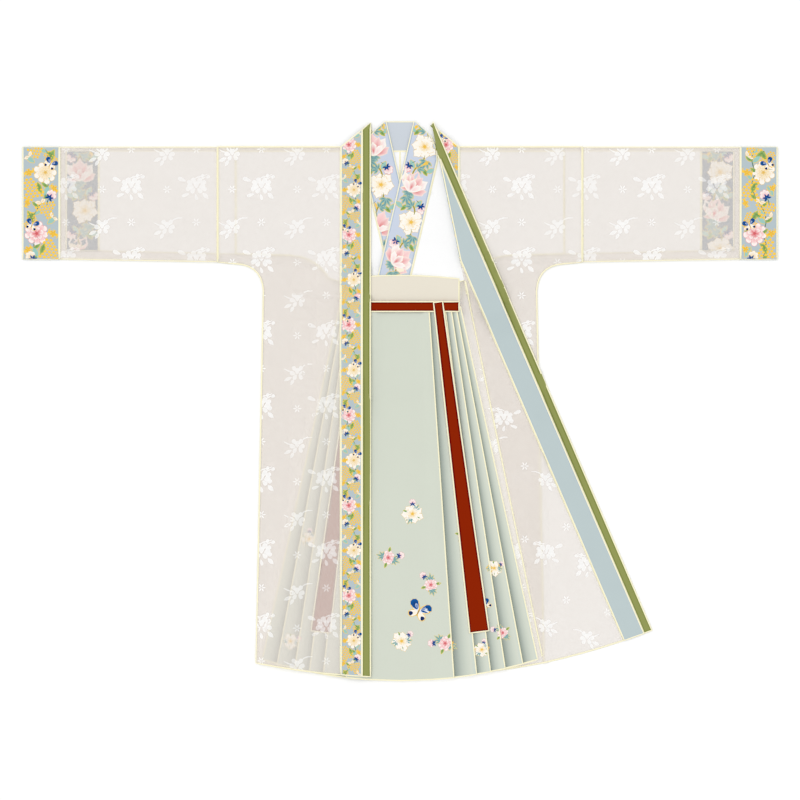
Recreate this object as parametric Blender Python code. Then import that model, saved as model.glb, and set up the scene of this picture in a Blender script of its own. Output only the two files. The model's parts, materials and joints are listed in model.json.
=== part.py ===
"""A hanfu set laid flat on its back: a long open robe, a cross-collared top and a pleated skirt.

Run it with blender --background --python part.py, or from Blender's text editor. Units are metres, +Z is up.
The set lies on z = 0 with its shoulders towards +Y and the wearer's right towards -X. The robe's left
front is turned back over its own sleeve side. Each cut piece is one object, a closed wall of cloth.

A place on the cloth is given as (across, down), measured from the centre line and the robe's shoulders.
"""

import math

import bmesh
import bpy
import numpy as np
from mathutils import Vector

# Driving sizes of the robe
HALF_SPAN = 0.905
CUFF_WIDTH = 0.088
ROBE_SLEEVE_SEAM = 0.437
ROBE_SLEEVE_DEPTH = 0.2765
ROBE_CUFF_DEPTH = 0.270
ROBE_UNDERARM_START = (0.394, 0.281)
ROBE_UNDERARM_CORNER = (0.332, 0.284)
ROBE_UNDERARM_END = (0.3285, 0.345)
ROBE_SIDE_HEM = (0.3456, 1.2379)
ROBE_HEM_DEPTH = 1.2716
ROBE_HEM_RADIUS = 1.79
BAND_WIDTH = 0.0504
EDGING_WIDTH = 0.0209
OPENING_EDGE = 0.0703
NECK_RISE = 0.0578
BACK_NECK_DEPTH = 0.0713

# The left front is folded along a line from near the neck to the foot of the side seam
FOLD_START = (0.0703, -0.0816)
FOLD_ANGLE = math.radians(11.65)

# Driving sizes of the top
TOP_HALF_SPAN = 0.801
TOP_CUFF_WIDTH = 0.0785
TOP_SLEEVE_SEAM = 0.3936
TOP_SHOULDER = 0.0103
TOP_SLEEVE_DEPTH = 0.2568
TOP_CUFF_DEPTH = 0.249
TOP_UNDERARM_START = (0.262, 0.2606)
TOP_UNDERARM_CORNER = (0.205, 0.2635)
TOP_UNDERARM_END = (0.1714, 0.3144)
TOP_BODY = 0.1425
TOP_BODY_START = 0.324
TOP_HEM_DEPTH = 0.523
COLLAR_TOP = -0.0607
COLLAR_INNER_TOP = 0.0329
COLLAR_OUTER_TOP = 0.0365
COLLAR_SLOPE = 0.2310
COLLAR_SHOULDER = (0.0756, -0.0245)
COLLAR_CREST = (0.0876, 0.0070)
COLLAR_SIDE = (0.0900, 0.0305)
COLLAR_CREST_LEAN = 0.0006
COLLAR_CUT = -0.03

# Driving sizes of the skirt
WAIST_HALF = 0.1416
WAIST_TOP = 0.3084
WAIST_TOP_SAG = 0.0084
WAIST_SEAM = 0.384
SKIRT_HEM_DEPTH = 1.2804
SKIRT_EDGE_HEM_DEPTH = 1.2288
SKIRT_FRONT_ROWS = 13
SKIRT_BACK_ROWS = 7
BELT_TOP = 0.3718
BELT_BOTTOM = 0.3962
TIE_TOP = (0.0908, 0.3725)
TIE_FOOT = (0.1902, 1.1630)
TIE_TOP_WIDTH = 0.0228
TIE_FOOT_WIDTH = 0.0475
TIE_ROWS = 14

# Walls, seams and how finely the cloth follows what lies under it
CLOTH = 0.0010
BAND_CLOTH = 0.0016
GAP = 0.0003
HEM_RING = 0.005
ROW_STEP = 0.060
ARC_STEPS = 7
SEAM_SLANT = 1.25
PILE_CELL = 0.004
CELL_REACH = 0.71
FOLD_NOSE = 0.0022
TUBE_END_STEPS = 4
STEP_CLEAR = 0.007
STEP_RAMP = 0.018
DRAPE_SLOPE = 0.45
SMALL = 1e-6
SMALL_AREA = 1e-9
HEM_STEP = 0.045
TUCK_RAMP = 0.016
TUCK_ROOM = 0.004
TUCK_END = 0.03
SLEEVE_END_ROOM = 0.002
CUT_SNAP = 0.0004
PILE_MARGIN = 0.05
PILE_STRIPS = 4
SHARP_ANGLE = math.radians(35)

# Shoulder line, so that the set's box is centred on the origin
SHOULDER_Y = (SKIRT_HEM_DEPTH + COLLAR_TOP) / 2

# Each pleat edge of the skirt front, from the centre panel outwards: across at the waist and at the hem
FRONT_PLEATS = [
    {"waist": 0.0696, "hem": 0.1296},
    {"waist": 0.0912, "hem": 0.1841},
    {"waist": 0.1080, "hem": 0.2174},
    {"waist": 0.1219, "hem": 0.2525},
    {"waist": 0.1345, "hem": 0.2947},
    {"waist": 0.1450, "hem": 0.3300},
]
BACK_PLEAT_COUNT = 7
PLEAT_RETURN_SHARE = 0.40
PLEAT_STEP_ROOM = 0.0008

FINISHES = {
    "gauze": ((0.92, 0.90, 0.88), 0.75),
    "floral_band": ((0.55, 0.66, 0.68), 0.60),
    "green_edging": ((0.30, 0.33, 0.10), 0.60),
    "pale_blue_facing": ((0.52, 0.61, 0.62), 0.60),
    "white_silk": ((0.95, 0.95, 0.95), 0.55),
    "floral_collar": ((0.62, 0.68, 0.80), 0.60),
    "mint_silk": ((0.68, 0.73, 0.63), 0.55),
    "beige_silk": ((0.83, 0.78, 0.66), 0.60),
    "red_silk": ((0.27, 0.017, 0.001), 0.50),
}


def at(across, down):
    """The plan point of a place on the cloth."""
    return Vector((across, SHOULDER_Y - down))


def bend(start, corner, end, steps=ARC_STEPS):
    """Points of a round stretch of outline from start to end, pulled towards corner."""
    points = []
    for i in range(steps + 1):
        t = i / steps
        points.append(tuple(
            (1 - t) ** 2 * a + 2 * t * (1 - t) * b + t ** 2 * c for a, b, c in zip(start, corner, end)
        ))
    return points


def robe_hem(across):
    """How far down the robe's curved hem is at a distance across."""
    return ROBE_HEM_DEPTH - (ROBE_HEM_RADIUS - math.sqrt(ROBE_HEM_RADIUS ** 2 - across ** 2))


def skirt_hem(across):
    """How far down the skirt's curved hem is at a distance across."""
    rise = SKIRT_HEM_DEPTH - SKIRT_EDGE_HEM_DEPTH
    half = FRONT_PLEATS[-1]["hem"]
    radius = (half ** 2 + rise ** 2) / (2 * rise)
    return SKIRT_HEM_DEPTH - (radius - math.sqrt(radius ** 2 - across ** 2))


def collar_edge(first, down):
    """Across on a sloping collar edge that passes through first."""
    return first[0] - COLLAR_SLOPE * (down - first[1])


def even_steps(low, high, step):
    """Evenly spaced values strictly between low and high, about a step apart."""
    count = max(1, round((high - low) / step))
    return [low + (high - low) * i / count for i in range(1, count)]


class Pile:
    """The height of the cloth laid so far, kept on a fine square grid."""

    def __init__(self, half_width, half_length):
        self.low = np.array([-half_width, -half_length])
        counts = np.ceil(2 * np.array([half_width, half_length]) / PILE_CELL).astype(int)
        self.height = np.full(counts, -GAP)

    def touched(self, corners):
        """Index arrays and centres of the cells that a convex plan polygon touches."""
        points = np.array([[c[0], c[1]] for c in corners])
        first = np.maximum(np.floor((points.min(0) - self.low) / PILE_CELL).astype(int) - 1, 0)
        last = np.minimum(np.ceil((points.max(0) - self.low) / PILE_CELL).astype(int) + 1, self.height.shape)
        rows, columns = np.meshgrid(np.arange(first[0], last[0]), np.arange(first[1], last[1]), indexing="ij")
        centres = np.stack([rows, columns], -1) * PILE_CELL + self.low + PILE_CELL / 2
        inside = np.ones(rows.shape, bool)
        near = np.zeros(rows.shape, bool)
        edges = np.roll(points, -1, 0) - points
        turn = 1.0 if np.cross(edges[0], edges[1]) >= 0 else -1.0
        for point, edge in zip(points, edges):
            offset = centres - point
            inside &= offset @ np.array([edge[1], -edge[0]]) * turn <= 0
            share = np.clip(offset @ edge / max(edge @ edge, SMALL ** 2), 0.0, 1.0)
            gap = offset - share[..., None] * edge
            near |= (gap ** 2).sum(-1) < (PILE_CELL * CELL_REACH) ** 2
        touched = inside | near
        return rows[touched], columns[touched], centres[touched]

    def top_under(self, corners):
        """The highest cloth under a convex plan polygon."""
        rows, columns, _ = self.touched(corners)
        return float(self.height[rows, columns].max()) if len(rows) else -GAP

    def add(self, corners, tops):
        """Records a triangle of cloth whose upper side has these heights at its corners."""
        rows, columns, centres = self.touched(corners)
        points = np.array([[c[0], c[1], 1.0] for c in corners[:3]])
        if abs(np.linalg.det(points)) > SMALL_AREA:
            plane = np.linalg.solve(points, np.array(tops[:3]))
            slope = math.hypot(plane[0], plane[1])
            heights = centres @ plane[:2] + plane[2] + slope * PILE_CELL
        else:
            heights = np.full(len(rows), max(tops))
        heights = np.clip(heights, min(tops), max(tops))
        self.height[rows, columns] = np.maximum(self.height[rows, columns], heights)


class Fold:
    """A straight fold: cloth on its left turns over and lies on the cloth to its right."""

    def __init__(self, start, angle):
        self.origin = at(*start)
        self.along = Vector((math.sin(angle), -math.cos(angle)))
        self.normal = Vector((math.cos(angle), math.sin(angle)))

    def side(self, point):
        """Signed distance of a plan point from the fold, positive where the cloth stays."""
        return (point - self.origin).dot(self.normal)

    def turned(self, point):
        """Where a plan point lies once it has turned over."""
        return point - 2 * self.side(point) * self.normal


def finish_material(name):
    """The material of that name, made on first use."""
    if name in bpy.data.materials:
        return bpy.data.materials[name]
    colour, roughness = FINISHES[name]
    material = bpy.data.materials.new(name)
    material.use_nodes = True
    shader = material.node_tree.nodes["Principled BSDF"]
    shader.inputs["Base Color"].default_value = (*colour, 1.0)
    shader.inputs["Roughness"].default_value = roughness
    shader.inputs["Metallic"].default_value = 0.0
    return material


def add_object(name, points, faces, finish):
    """One named piece of cloth from its points and faces."""
    mesh = bpy.data.meshes.new(name)
    mesh.from_pydata([tuple(p) for p in points], [], faces)
    mesh.validate()
    mesh.materials.append(finish_material(finish))
    mesh.shade_smooth()
    mesh.set_sharp_from_angle(angle=SHARP_ANGLE)
    piece = bpy.data.objects.new(name, mesh)
    bpy.context.scene.collection.objects.link(piece)
    return piece


def cut_plan(outline, lines, ring=HEM_RING):
    """A flat outline as triangles, with a narrow ring along its edge, cut along straight lines.

    Returns the plan points and the triangles, each turning anticlockwise."""
    corners = [at(*place) for place in outline]
    turn = sum(a.x * b.y - b.x * a.y for a, b in zip(corners, corners[1:] + corners[:1]))
    if turn < 0:
        corners.reverse()
    plan = bmesh.new()
    face = plan.faces.new([plan.verts.new((c.x, c.y, 0.0)) for c in corners])
    face.normal_update()
    if ring:
        bmesh.ops.inset_region(plan, faces=[face], thickness=ring, use_even_offset=True)
    for point, direction in lines:
        normal = Vector((direction.y, -direction.x, 0.0)).normalized()
        bmesh.ops.bisect_plane(
            plan, geom=plan.verts[:] + plan.edges[:] + plan.faces[:], dist=CUT_SNAP,
            plane_co=(point.x, point.y, 0.0), plane_no=normal,
        )
    bmesh.ops.remove_doubles(plan, verts=plan.verts[:], dist=GAP)
    bmesh.ops.triangulate(plan, faces=plan.faces[:])
    plan.verts.index_update()
    points = [Vector((v.co.x, v.co.y)) for v in plan.verts]
    triangles = [tuple(v.index for v in face.verts) for face in plan.faces]
    plan.free()
    return points, triangles


def across_line(down):
    """A cut straight across the cloth."""
    return at(0.0, down), Vector((1.0, 0.0))


def down_line(across):
    """A cut straight down the cloth."""
    return at(across, 0.0), Vector((0.0, 1.0))


def line_through(first, second):
    """A cut through two places on the cloth."""
    return at(*first), at(*second) - at(*first)


def shifted_line(line, distance):
    """The same cut, moved sideways."""
    point, direction = line
    return point + Vector((direction.y, -direction.x)).normalized() * distance, direction


def piece_boundary(triangles):
    """Directed edges that only one of the triangles has."""
    directed = {(t[i], t[(i + 1) % 3]) for t in triangles for i in range(3)}
    return [edge for edge in directed if (edge[1], edge[0]) not in directed]


def seam_shift(points, boundary, outer_edges):
    """How far each plan point moves in, so that a piece stops half a gap short of its neighbours."""
    moves = {}
    for a, b in boundary:
        if (a, b) in outer_edges:
            continue
        edge = points[b] - points[a]
        inward = Vector((-edge.y, edge.x)).normalized()
        for corner in (a, b):
            moves.setdefault(corner, []).append(inward)
    shift = {}
    for corner, inwards in moves.items():
        total = sum(inwards, Vector((0.0, 0.0)))
        if total.length > SMALL:
            shift[corner] = total.normalized() * (GAP / 2)
    return shift


def support_heights(pile, places, triangles):
    """The lowest height at which each corner clears what is under it, dropping no steeper than cloth drapes."""
    heights = {}
    drops = {}
    for triangle in triangles:
        top = pile.top_under([places[i] for i in triangle]) + GAP
        for corner in triangle:
            heights[corner] = max(heights.get(corner, top), top)
        for a, b in zip(triangle, triangle[1:] + triangle[:1]):
            drops[a, b] = drops[b, a] = (places[a] - places[b]).length * DRAPE_SLOPE
    rose = True
    while rose:
        rose = False
        for (a, b), drop in drops.items():
            if heights[a] < heights[b] - drop - SMALL:
                heights[a] = heights[b] - drop
                rose = True
    return heights


def lay(pile, outline, lines, pieces, piece_of, fold=None):
    """Lays one connected layer of cloth on the pile and makes its pieces.

    pieces maps a name to (wall thickness, finish). piece_of gives the name for a plan point. Where there
    is a fold, the cloth on its left is turned over and laid last."""
    points, triangles = cut_plan(outline, lines)
    middle = {t: sum((points[i] for i in t), Vector((0.0, 0.0))) / 3 for t in triangles}
    owner = {t: piece_of(middle[t]) for t in triangles}
    stays = [t for t in triangles if fold is None or fold.side(middle[t]) > 0]
    turns = [t for t in triangles if fold is not None and fold.side(middle[t]) <= 0]
    low = support_heights(pile, points, stays)
    for t in stays:
        pile.add([points[i] for i in t], [low[i] + pieces[owner[t]][0] for i in t])
    high = {}
    if fold:
        over = [fold.turned(p) for p in points]
        high = support_heights(pile, over, turns)
        for t in turns:
            pile.add([over[i] for i in t], [high[i] + pieces[owner[t]][0] for i in t])
    outer_edges = set(piece_boundary(triangles))
    for name, (wall, finish) in pieces.items():
        own = [t for t in triangles if owner[t] == name]
        boundary = piece_boundary(own)
        shift = seam_shift(points, boundary, outer_edges)
        used = sorted({i for t in own for i in t})
        index = {corner: i for i, corner in enumerate(used)}
        outside, inside = [], []
        for corner in used:
            place = points[corner] + shift.get(corner, Vector((0.0, 0.0)))
            if corner in low and corner in high:
                middle_height = (low[corner] + high[corner] + wall) / 2
                nose = place + fold.normal * wall
                outside.append((nose.x, nose.y, middle_height))
                inside.append((place.x, place.y, middle_height))
            elif corner in high:
                place = fold.turned(place)
                outside.append((place.x, place.y, high[corner]))
                inside.append((place.x, place.y, high[corner] + wall))
            else:
                outside.append((place.x, place.y, low[corner] + wall))
                inside.append((place.x, place.y, low[corner]))
        count = len(used)
        faces = [tuple(index[i] for i in t) for t in own]
        faces += [tuple(index[i] + count for i in reversed(t)) for t in own]
        faces += [(index[a] + count, index[b] + count, index[b], index[a]) for a, b in boundary]
        add_object(name, outside + inside, faces, finish)


def flat_tube(name, finish, sections, wall, low):
    """A sleeve pressed flat: a tube through sections, each with across, top, bottom and height."""
    rings = []
    for row in sections:
        half = row["height"] / 2
        for inset in (0.0, wall):
            radius = half - inset
            centre = low + half
            ends = []
            for down, start in ((row["top"] + half, 0.5), (row["bottom"] - half, 1.5)):
                for step in range(TUBE_END_STEPS + 1):
                    turn = math.pi * (start - step / TUBE_END_STEPS)
                    y = SHOULDER_Y - down + radius * math.cos(turn)
                    ends.append((row["across"], y, centre + radius * math.sin(turn)))
            rings.append(ends)
    size = len(rings[0])
    points = [p for ring in rings for p in ring]
    faces = []
    for k in range(len(sections) - 1):
        for layer in (0, 1):
            first, second = (2 * k + layer) * size, (2 * k + 2 + layer) * size
            for i in range(size):
                j = (i + 1) % size
                quad = (first + i, first + j, second + j, second + i)
                faces.append(quad if layer == 0 else quad[::-1])
    for base, flip in ((0, True), (2 * (len(sections) - 1) * size, False)):
        for i in range(size):
            j = (i + 1) % size
            quad = (base + i, base + j, base + size + j, base + size + i)
            faces.append(quad[::-1] if flip else quad)
    make_outward(add_object(name, points, faces, finish))


def make_outward(piece):
    """Turns a closed piece's faces outwards."""
    shape = bmesh.new()
    shape.from_mesh(piece.data)
    bmesh.ops.recalc_face_normals(shape, faces=shape.faces[:])
    if shape.calc_volume(signed=True) < 0:
        bmesh.ops.reverse_faces(shape, faces=shape.faces[:])
    shape.to_mesh(piece.data)
    shape.free()


def lay_tube(pile, side, name, finish, sections, wall, low):
    """One stretch of a flattened sleeve on one side, and its place in the pile."""
    sections = [{**row, "across": row["across"] * side} for row in sections]
    flat_tube(f"{name}_{'left' if side > 0 else 'right'}", finish, sections, wall, low)
    first, last = sections[0], sections[-1]
    corners = [at(first["across"], first["top"]), at(last["across"], last["top"]),
               at(last["across"], last["bottom"]), at(first["across"], first["bottom"])]
    top = low + max(row["height"] for row in sections)
    pile.add(corners[:3], [top] * 3)
    pile.add([corners[0], corners[2], corners[3]], [top] * 3)


def robe_side():
    """Outline of one robe half from the shoulder at the sleeve seam to the foot of its side seam."""
    return [(ROBE_SLEEVE_SEAM, 0.0), (ROBE_SLEEVE_SEAM, ROBE_SLEEVE_DEPTH),
            *bend(ROBE_UNDERARM_START, ROBE_UNDERARM_CORNER, ROBE_UNDERARM_END), ROBE_SIDE_HEM]


def top_side():
    """Outline of one half of the top from the shoulder at the sleeve seam to the foot of its side."""
    return [(TOP_SLEEVE_SEAM, TOP_SHOULDER), (TOP_SLEEVE_SEAM, TOP_SLEEVE_DEPTH),
            *bend(TOP_UNDERARM_START, TOP_UNDERARM_CORNER, TOP_UNDERARM_END),
            (TOP_BODY, TOP_BODY_START), (TOP_BODY, TOP_HEM_DEPTH)]


def mirrored(outline):
    """The outline on the other side of the centre line."""
    return [(-across, down) for across, down in outline]


def robe_hem_points(start, end):
    """Places along the robe's hem from one distance across to another."""
    count = max(1, round(abs(end - start) / HEM_STEP))
    stops = [start + (end - start) * i / count for i in range(1, count)]
    return [(across, robe_hem(across)) for across in stops]


def neck_curve(half, side_down, centre_down, shift=0.0):
    """A round neck edge from the wearer's left to right, moved down by shift."""
    left = bend((half, side_down), (half, centre_down), (0.0, centre_down))
    curve = left + mirrored(left)[-2::-1]
    return [(across, down + shift) for across, down in curve]


def floor_plate(pile, name, outline, finish):
    """A piece of cloth that lies flat on the floor."""
    points, triangles = cut_plan(outline, [], ring=0.0)
    for t in triangles:
        pile.add([points[i] for i in t], [CLOTH] * 3)
    count = len(points)
    solid = [(p.x, p.y, CLOTH) for p in points] + [(p.x, p.y, 0.0) for p in points]
    faces = list(triangles) + [tuple(i + count for i in reversed(t)) for t in triangles]
    faces += [(a + count, b + count, b, a) for a, b in piece_boundary(triangles)]
    add_object(name, solid, faces, finish)


def build_robe_back(pile):
    """The robe's back with the neckband and its edging, which pass behind the collar of the top."""
    panel_half = OPENING_EDGE + EDGING_WIDTH + BAND_WIDTH
    slant = NECK_RISE / (panel_half - OPENING_EDGE)
    edging_half = OPENING_EDGE + EDGING_WIDTH
    seam = (panel_half, 0.0, BACK_NECK_DEPTH)
    edging_seam = (edging_half, -BAND_WIDTH * slant, BACK_NECK_DEPTH - BAND_WIDTH)
    top = (OPENING_EDGE, -NECK_RISE, BACK_NECK_DEPTH - BAND_WIDTH - EDGING_WIDTH)
    half_gap = SEAM_SLANT * GAP / 2
    side = ROBE_SIDE_HEM[0]
    back = robe_side() + robe_hem_points(side, -side) + mirrored(robe_side())[::-1]
    floor_plate(pile, "robe_back", back + neck_curve(*seam, half_gap)[::-1], "gauze")
    band = neck_curve(*seam, -half_gap) + neck_curve(*edging_seam, half_gap)[::-1]
    floor_plate(pile, "robe_band_back", band, "floral_band")
    edging = neck_curve(*edging_seam, -half_gap) + neck_curve(*top)[::-1]
    floor_plate(pile, "robe_edging_back", edging, "green_edging")


def robe_front_outline():
    """Outline of one robe front with its band and edging, on the wearer's left, before it is folded."""
    return robe_side() + robe_hem_points(ROBE_SIDE_HEM[0], OPENING_EDGE) + [
        (OPENING_EDGE, robe_hem(OPENING_EDGE)), (OPENING_EDGE, -NECK_RISE),
        (OPENING_EDGE + EDGING_WIDTH + BAND_WIDTH, 0.0)]


def robe_front_pieces(side_name):
    """Names the parts of a robe front by distance across."""
    band_start = OPENING_EDGE + EDGING_WIDTH
    panel_start = band_start + BAND_WIDTH

    def piece_of(point):
        """Names the piece that a plan point lies in."""
        across = abs(point.x)
        if across > panel_start:
            return f"robe_front_{side_name}"
        return f"robe_band_{side_name}" if across > band_start else f"robe_edging_{side_name}"

    pieces = {
        f"robe_front_{side_name}": (CLOTH, "gauze"),
        f"robe_band_{side_name}": (BAND_CLOTH, "floral_band"),
        f"robe_edging_{side_name}": (BAND_CLOTH, "green_edging"),
    }
    return pieces, piece_of, [band_start, panel_start]


def step_lines(first, second, side=1):
    """Cuts where a layer drops off an edge that runs between two places, on the side away from the centre."""
    edge = line_through((first[0] * side, first[1]), (second[0] * side, second[1]))
    return [edge, shifted_line(edge, -STEP_CLEAR * side), shifted_line(edge, -STEP_RAMP * side)]


def front_rows():
    """Cuts straight across a robe front, closer where it climbs over the top, the waist and the tie ends."""
    drops = [(TOP_UNDERARM_START[1], 1), (WAIST_TOP, -1), (BELT_TOP, -1), (BELT_BOTTOM, 1), (TIE_FOOT[1], 1)]
    climbs = [down + way * reach for down, way in drops for reach in (STEP_CLEAR, STEP_RAMP)]
    rows = [down for down in even_steps(0.0, ROBE_HEM_DEPTH, ROW_STEP)
            if min(abs(down - climb) for climb in climbs) > STEP_RAMP]
    return [across_line(down) for down in climbs + rows]


def front_columns(seams):
    """Cuts straight down a robe front, at its seams and evenly over its gauze."""
    return [down_line(across) for across in seams + even_steps(seams[-1], ROBE_SLEEVE_SEAM, ROW_STEP)]


def build_robe_front_right(pile):
    """The wearer's right front, which hangs straight."""
    pieces, piece_of, seams = robe_front_pieces("right")
    skirt_waist = (FRONT_PLEATS[-1]["waist"], WAIST_SEAM)
    skirt_foot = (FRONT_PLEATS[-1]["hem"], SKIRT_EDGE_HEM_DEPTH)
    lines = front_rows() + [(Vector((-point.x, point.y)), way) for point, way in front_columns(seams)]
    lines += step_lines(skirt_waist, skirt_foot, -1)
    lines += step_lines(TOP_UNDERARM_END, TOP_UNDERARM_START, -1)
    lines += step_lines((TOP_BODY, TOP_HEM_DEPTH), (TOP_BODY, TOP_BODY_START), -1)
    lay(pile, mirrored(robe_front_outline()), lines, pieces, piece_of)


def build_robe_front_left(pile):
    """The wearer's left front, folded so that its inside shows, with the facing on the turned band."""
    pieces, piece_of, seams = robe_front_pieces("left")
    fold = Fold(FOLD_START, FOLD_ANGLE)
    crease = (fold.origin, fold.along)
    lines = [crease, shifted_line(crease, FOLD_NOSE), shifted_line(crease, -FOLD_NOSE)]
    lines += front_columns(seams) + front_rows()
    underarm = step_lines(TOP_UNDERARM_END, TOP_UNDERARM_START)
    side = step_lines(ROBE_UNDERARM_END, ROBE_SIDE_HEM)
    lines += underarm + [(fold.turned(point), fold.turned(point + way) - fold.turned(point))
                         for point, way in underarm + side]
    lay(pile, robe_front_outline(), lines, pieces, piece_of, fold)
    build_facing(pile, fold)


def build_facing(pile, fold):
    """The plain inner side of the left band, which shows because that front is turned back."""
    inner, outer = OPENING_EDGE + EDGING_WIDTH, OPENING_EDGE + EDGING_WIDTH + BAND_WIDTH
    start = [fold_depth(fold, across) + 4 * FOLD_NOSE for across in (inner, outer)]
    outline = [(inner, start[0]), (outer, start[1]), (outer, robe_hem(outer)), (inner, robe_hem(inner))]
    turned = [fold.turned(at(*place)) for place in outline]
    outline = [(p.x, SHOULDER_Y - p.y) for p in turned]
    rows = []
    for down in even_steps(0.0, ROBE_HEM_DEPTH, ROW_STEP):
        first, second = fold.turned(at(inner, down)), fold.turned(at(outer, down))
        rows.append((first, second - first))
    name = "robe_facing_left"
    lay(pile, outline, rows, {name: (CLOTH, "pale_blue_facing")}, lambda point: name)


def fold_depth(fold, across):
    """How far down the fold is at a distance across."""
    steps = (across - fold.origin.x) / fold.along.x
    return SHOULDER_Y - (fold.origin.y + steps * fold.along.y)


def build_robe_sleeves(pile):
    """Both robe sleeves, pressed flat around the sleeves of the top, with their cuff bands."""
    full = 4 * CLOTH + 3 * GAP
    empty = 2 * BAND_CLOTH + GAP
    cuff_seam = HALF_SPAN - CUFF_WIDTH
    stops = [(ROBE_SLEEVE_SEAM + GAP, full), (TOP_HALF_SPAN - TOP_CUFF_WIDTH, full),
             (TOP_HALF_SPAN + SLEEVE_END_ROOM, full), (cuff_seam - GAP, empty)]
    taper = (ROBE_CUFF_DEPTH - ROBE_SLEEVE_DEPTH) / (cuff_seam - ROBE_SLEEVE_SEAM)
    rows = [
        {"across": across, "top": 0.0, "height": height,
         "bottom": ROBE_SLEEVE_DEPTH + taper * (across - ROBE_SLEEVE_SEAM)}
        for across, height in stops
    ]
    cuff_rows = [
        {"across": cuff_seam, "top": 0.0, "bottom": ROBE_CUFF_DEPTH, "height": empty},
        {"across": HALF_SPAN, "top": 0.0, "bottom": ROBE_CUFF_DEPTH, "height": empty},
    ]
    for side in (-1, 1):
        lay_tube(pile, side, "robe_sleeve", "gauze", rows, CLOTH, 0.0)
        lay_tube(pile, side, "robe_cuff", "floral_band", cuff_rows, BAND_CLOTH, 0.0)


def build_top_sleeves(pile):
    """Both sleeves of the top with their cuff bands, lying inside the robe's sleeves."""
    height = 2 * CLOTH + GAP
    cuff_seam = TOP_HALF_SPAN - TOP_CUFF_WIDTH
    rows = [
        {"across": TOP_SLEEVE_SEAM + GAP, "top": TOP_SHOULDER, "bottom": TOP_SLEEVE_DEPTH, "height": height},
        {"across": cuff_seam - GAP, "top": TOP_SHOULDER, "bottom": TOP_CUFF_DEPTH, "height": height},
    ]
    cuff_rows = [
        {"across": cuff_seam, "top": TOP_SHOULDER, "bottom": TOP_CUFF_DEPTH, "height": height},
        {"across": TOP_HALF_SPAN, "top": TOP_SHOULDER, "bottom": TOP_CUFF_DEPTH, "height": height},
    ]
    for side in (-1, 1):
        lay_tube(pile, side, "top_sleeve", "white_silk", rows, CLOTH, CLOTH + GAP)
        lay_tube(pile, side, "top_cuff", "floral_collar", cuff_rows, CLOTH, CLOTH + GAP)


def build_top_back(pile):
    """The top's two back halves, joined down the middle, and its collar behind the neck."""
    collar = [(COLLAR_SIDE[0], TOP_SHOULDER), COLLAR_SHOULDER, (COLLAR_INNER_TOP, COLLAR_TOP)]
    outline = top_side() + mirrored(top_side())[::-1] + mirrored(collar) + collar[::-1]

    def piece_of(point):
        """Names the piece that a plan point lies in."""
        if SHOULDER_Y - point.y < TOP_SHOULDER:
            return "top_collar_back"
        return "top_back_left" if point.x > 0 else "top_back_right"

    pieces = {
        "top_back_left": (CLOTH, "white_silk"),
        "top_back_right": (CLOTH, "white_silk"),
        "top_collar_back": (CLOTH, "floral_collar"),
    }
    lines = [across_line(TOP_SHOULDER), down_line(0.0)]
    lines += [across_line(down) for down in tucked_rows()]
    lay(pile, outline, lines, pieces, piece_of)


def tucked_rows():
    """Rows where the top goes down inside the skirt, at the edges of the waistband and belt and below."""
    return [WAIST_TOP - TUCK_RAMP, WAIST_TOP, BELT_TOP - TUCK_ROOM, BELT_BOTTOM + TUCK_ROOM, BELT_BOTTOM + TUCK_END]


def build_top_front(pile, side, name):
    """One front of the top with its collar band, which crosses to the other side of the waist."""
    inner_top = (COLLAR_INNER_TOP, COLLAR_TOP)
    foot = TOP_HEM_DEPTH
    outline = top_side() + [
        (collar_edge(inner_top, foot), foot), inner_top, (COLLAR_OUTER_TOP, COLLAR_TOP), COLLAR_SHOULDER,
        COLLAR_CREST, (COLLAR_CREST[0] + COLLAR_CREST_LEAN, TOP_SHOULDER)]
    outer = line_through(COLLAR_SIDE, (collar_edge(COLLAR_SIDE, foot), foot))
    lines = [outer, line_through(COLLAR_CREST, COLLAR_SIDE), down_line(0.0), down_line(COLLAR_CUT)]
    rows = even_steps(TOP_SHOULDER, WAIST_TOP - TUCK_RAMP, ROW_STEP)
    lines += [across_line(down) for down in rows + tucked_rows()]

    def piece_of(point):
        """Names the piece that a plan point lies in."""
        across, down = point.x * side, SHOULDER_Y - point.y
        limit = COLLAR_CREST[0] + (COLLAR_SIDE[0] - COLLAR_CREST[0]) * (down - COLLAR_CREST[1]) / (
            COLLAR_SIDE[1] - COLLAR_CREST[1])
        if down > COLLAR_SIDE[1]:
            limit = collar_edge(COLLAR_SIDE, down)
        return f"top_front_{name}" if across > limit and down > TOP_SHOULDER else f"top_collar_{name}"

    if side < 0:
        outline = mirrored(outline)
        lines = [(Vector((-point.x, point.y)), Vector((-way.x, way.y))) for point, way in lines]
    pieces = {f"top_front_{name}": (CLOTH, "white_silk"), f"top_collar_{name}": (BAND_CLOTH, "floral_collar")}
    lay(pile, outline, lines, pieces, piece_of)


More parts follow.
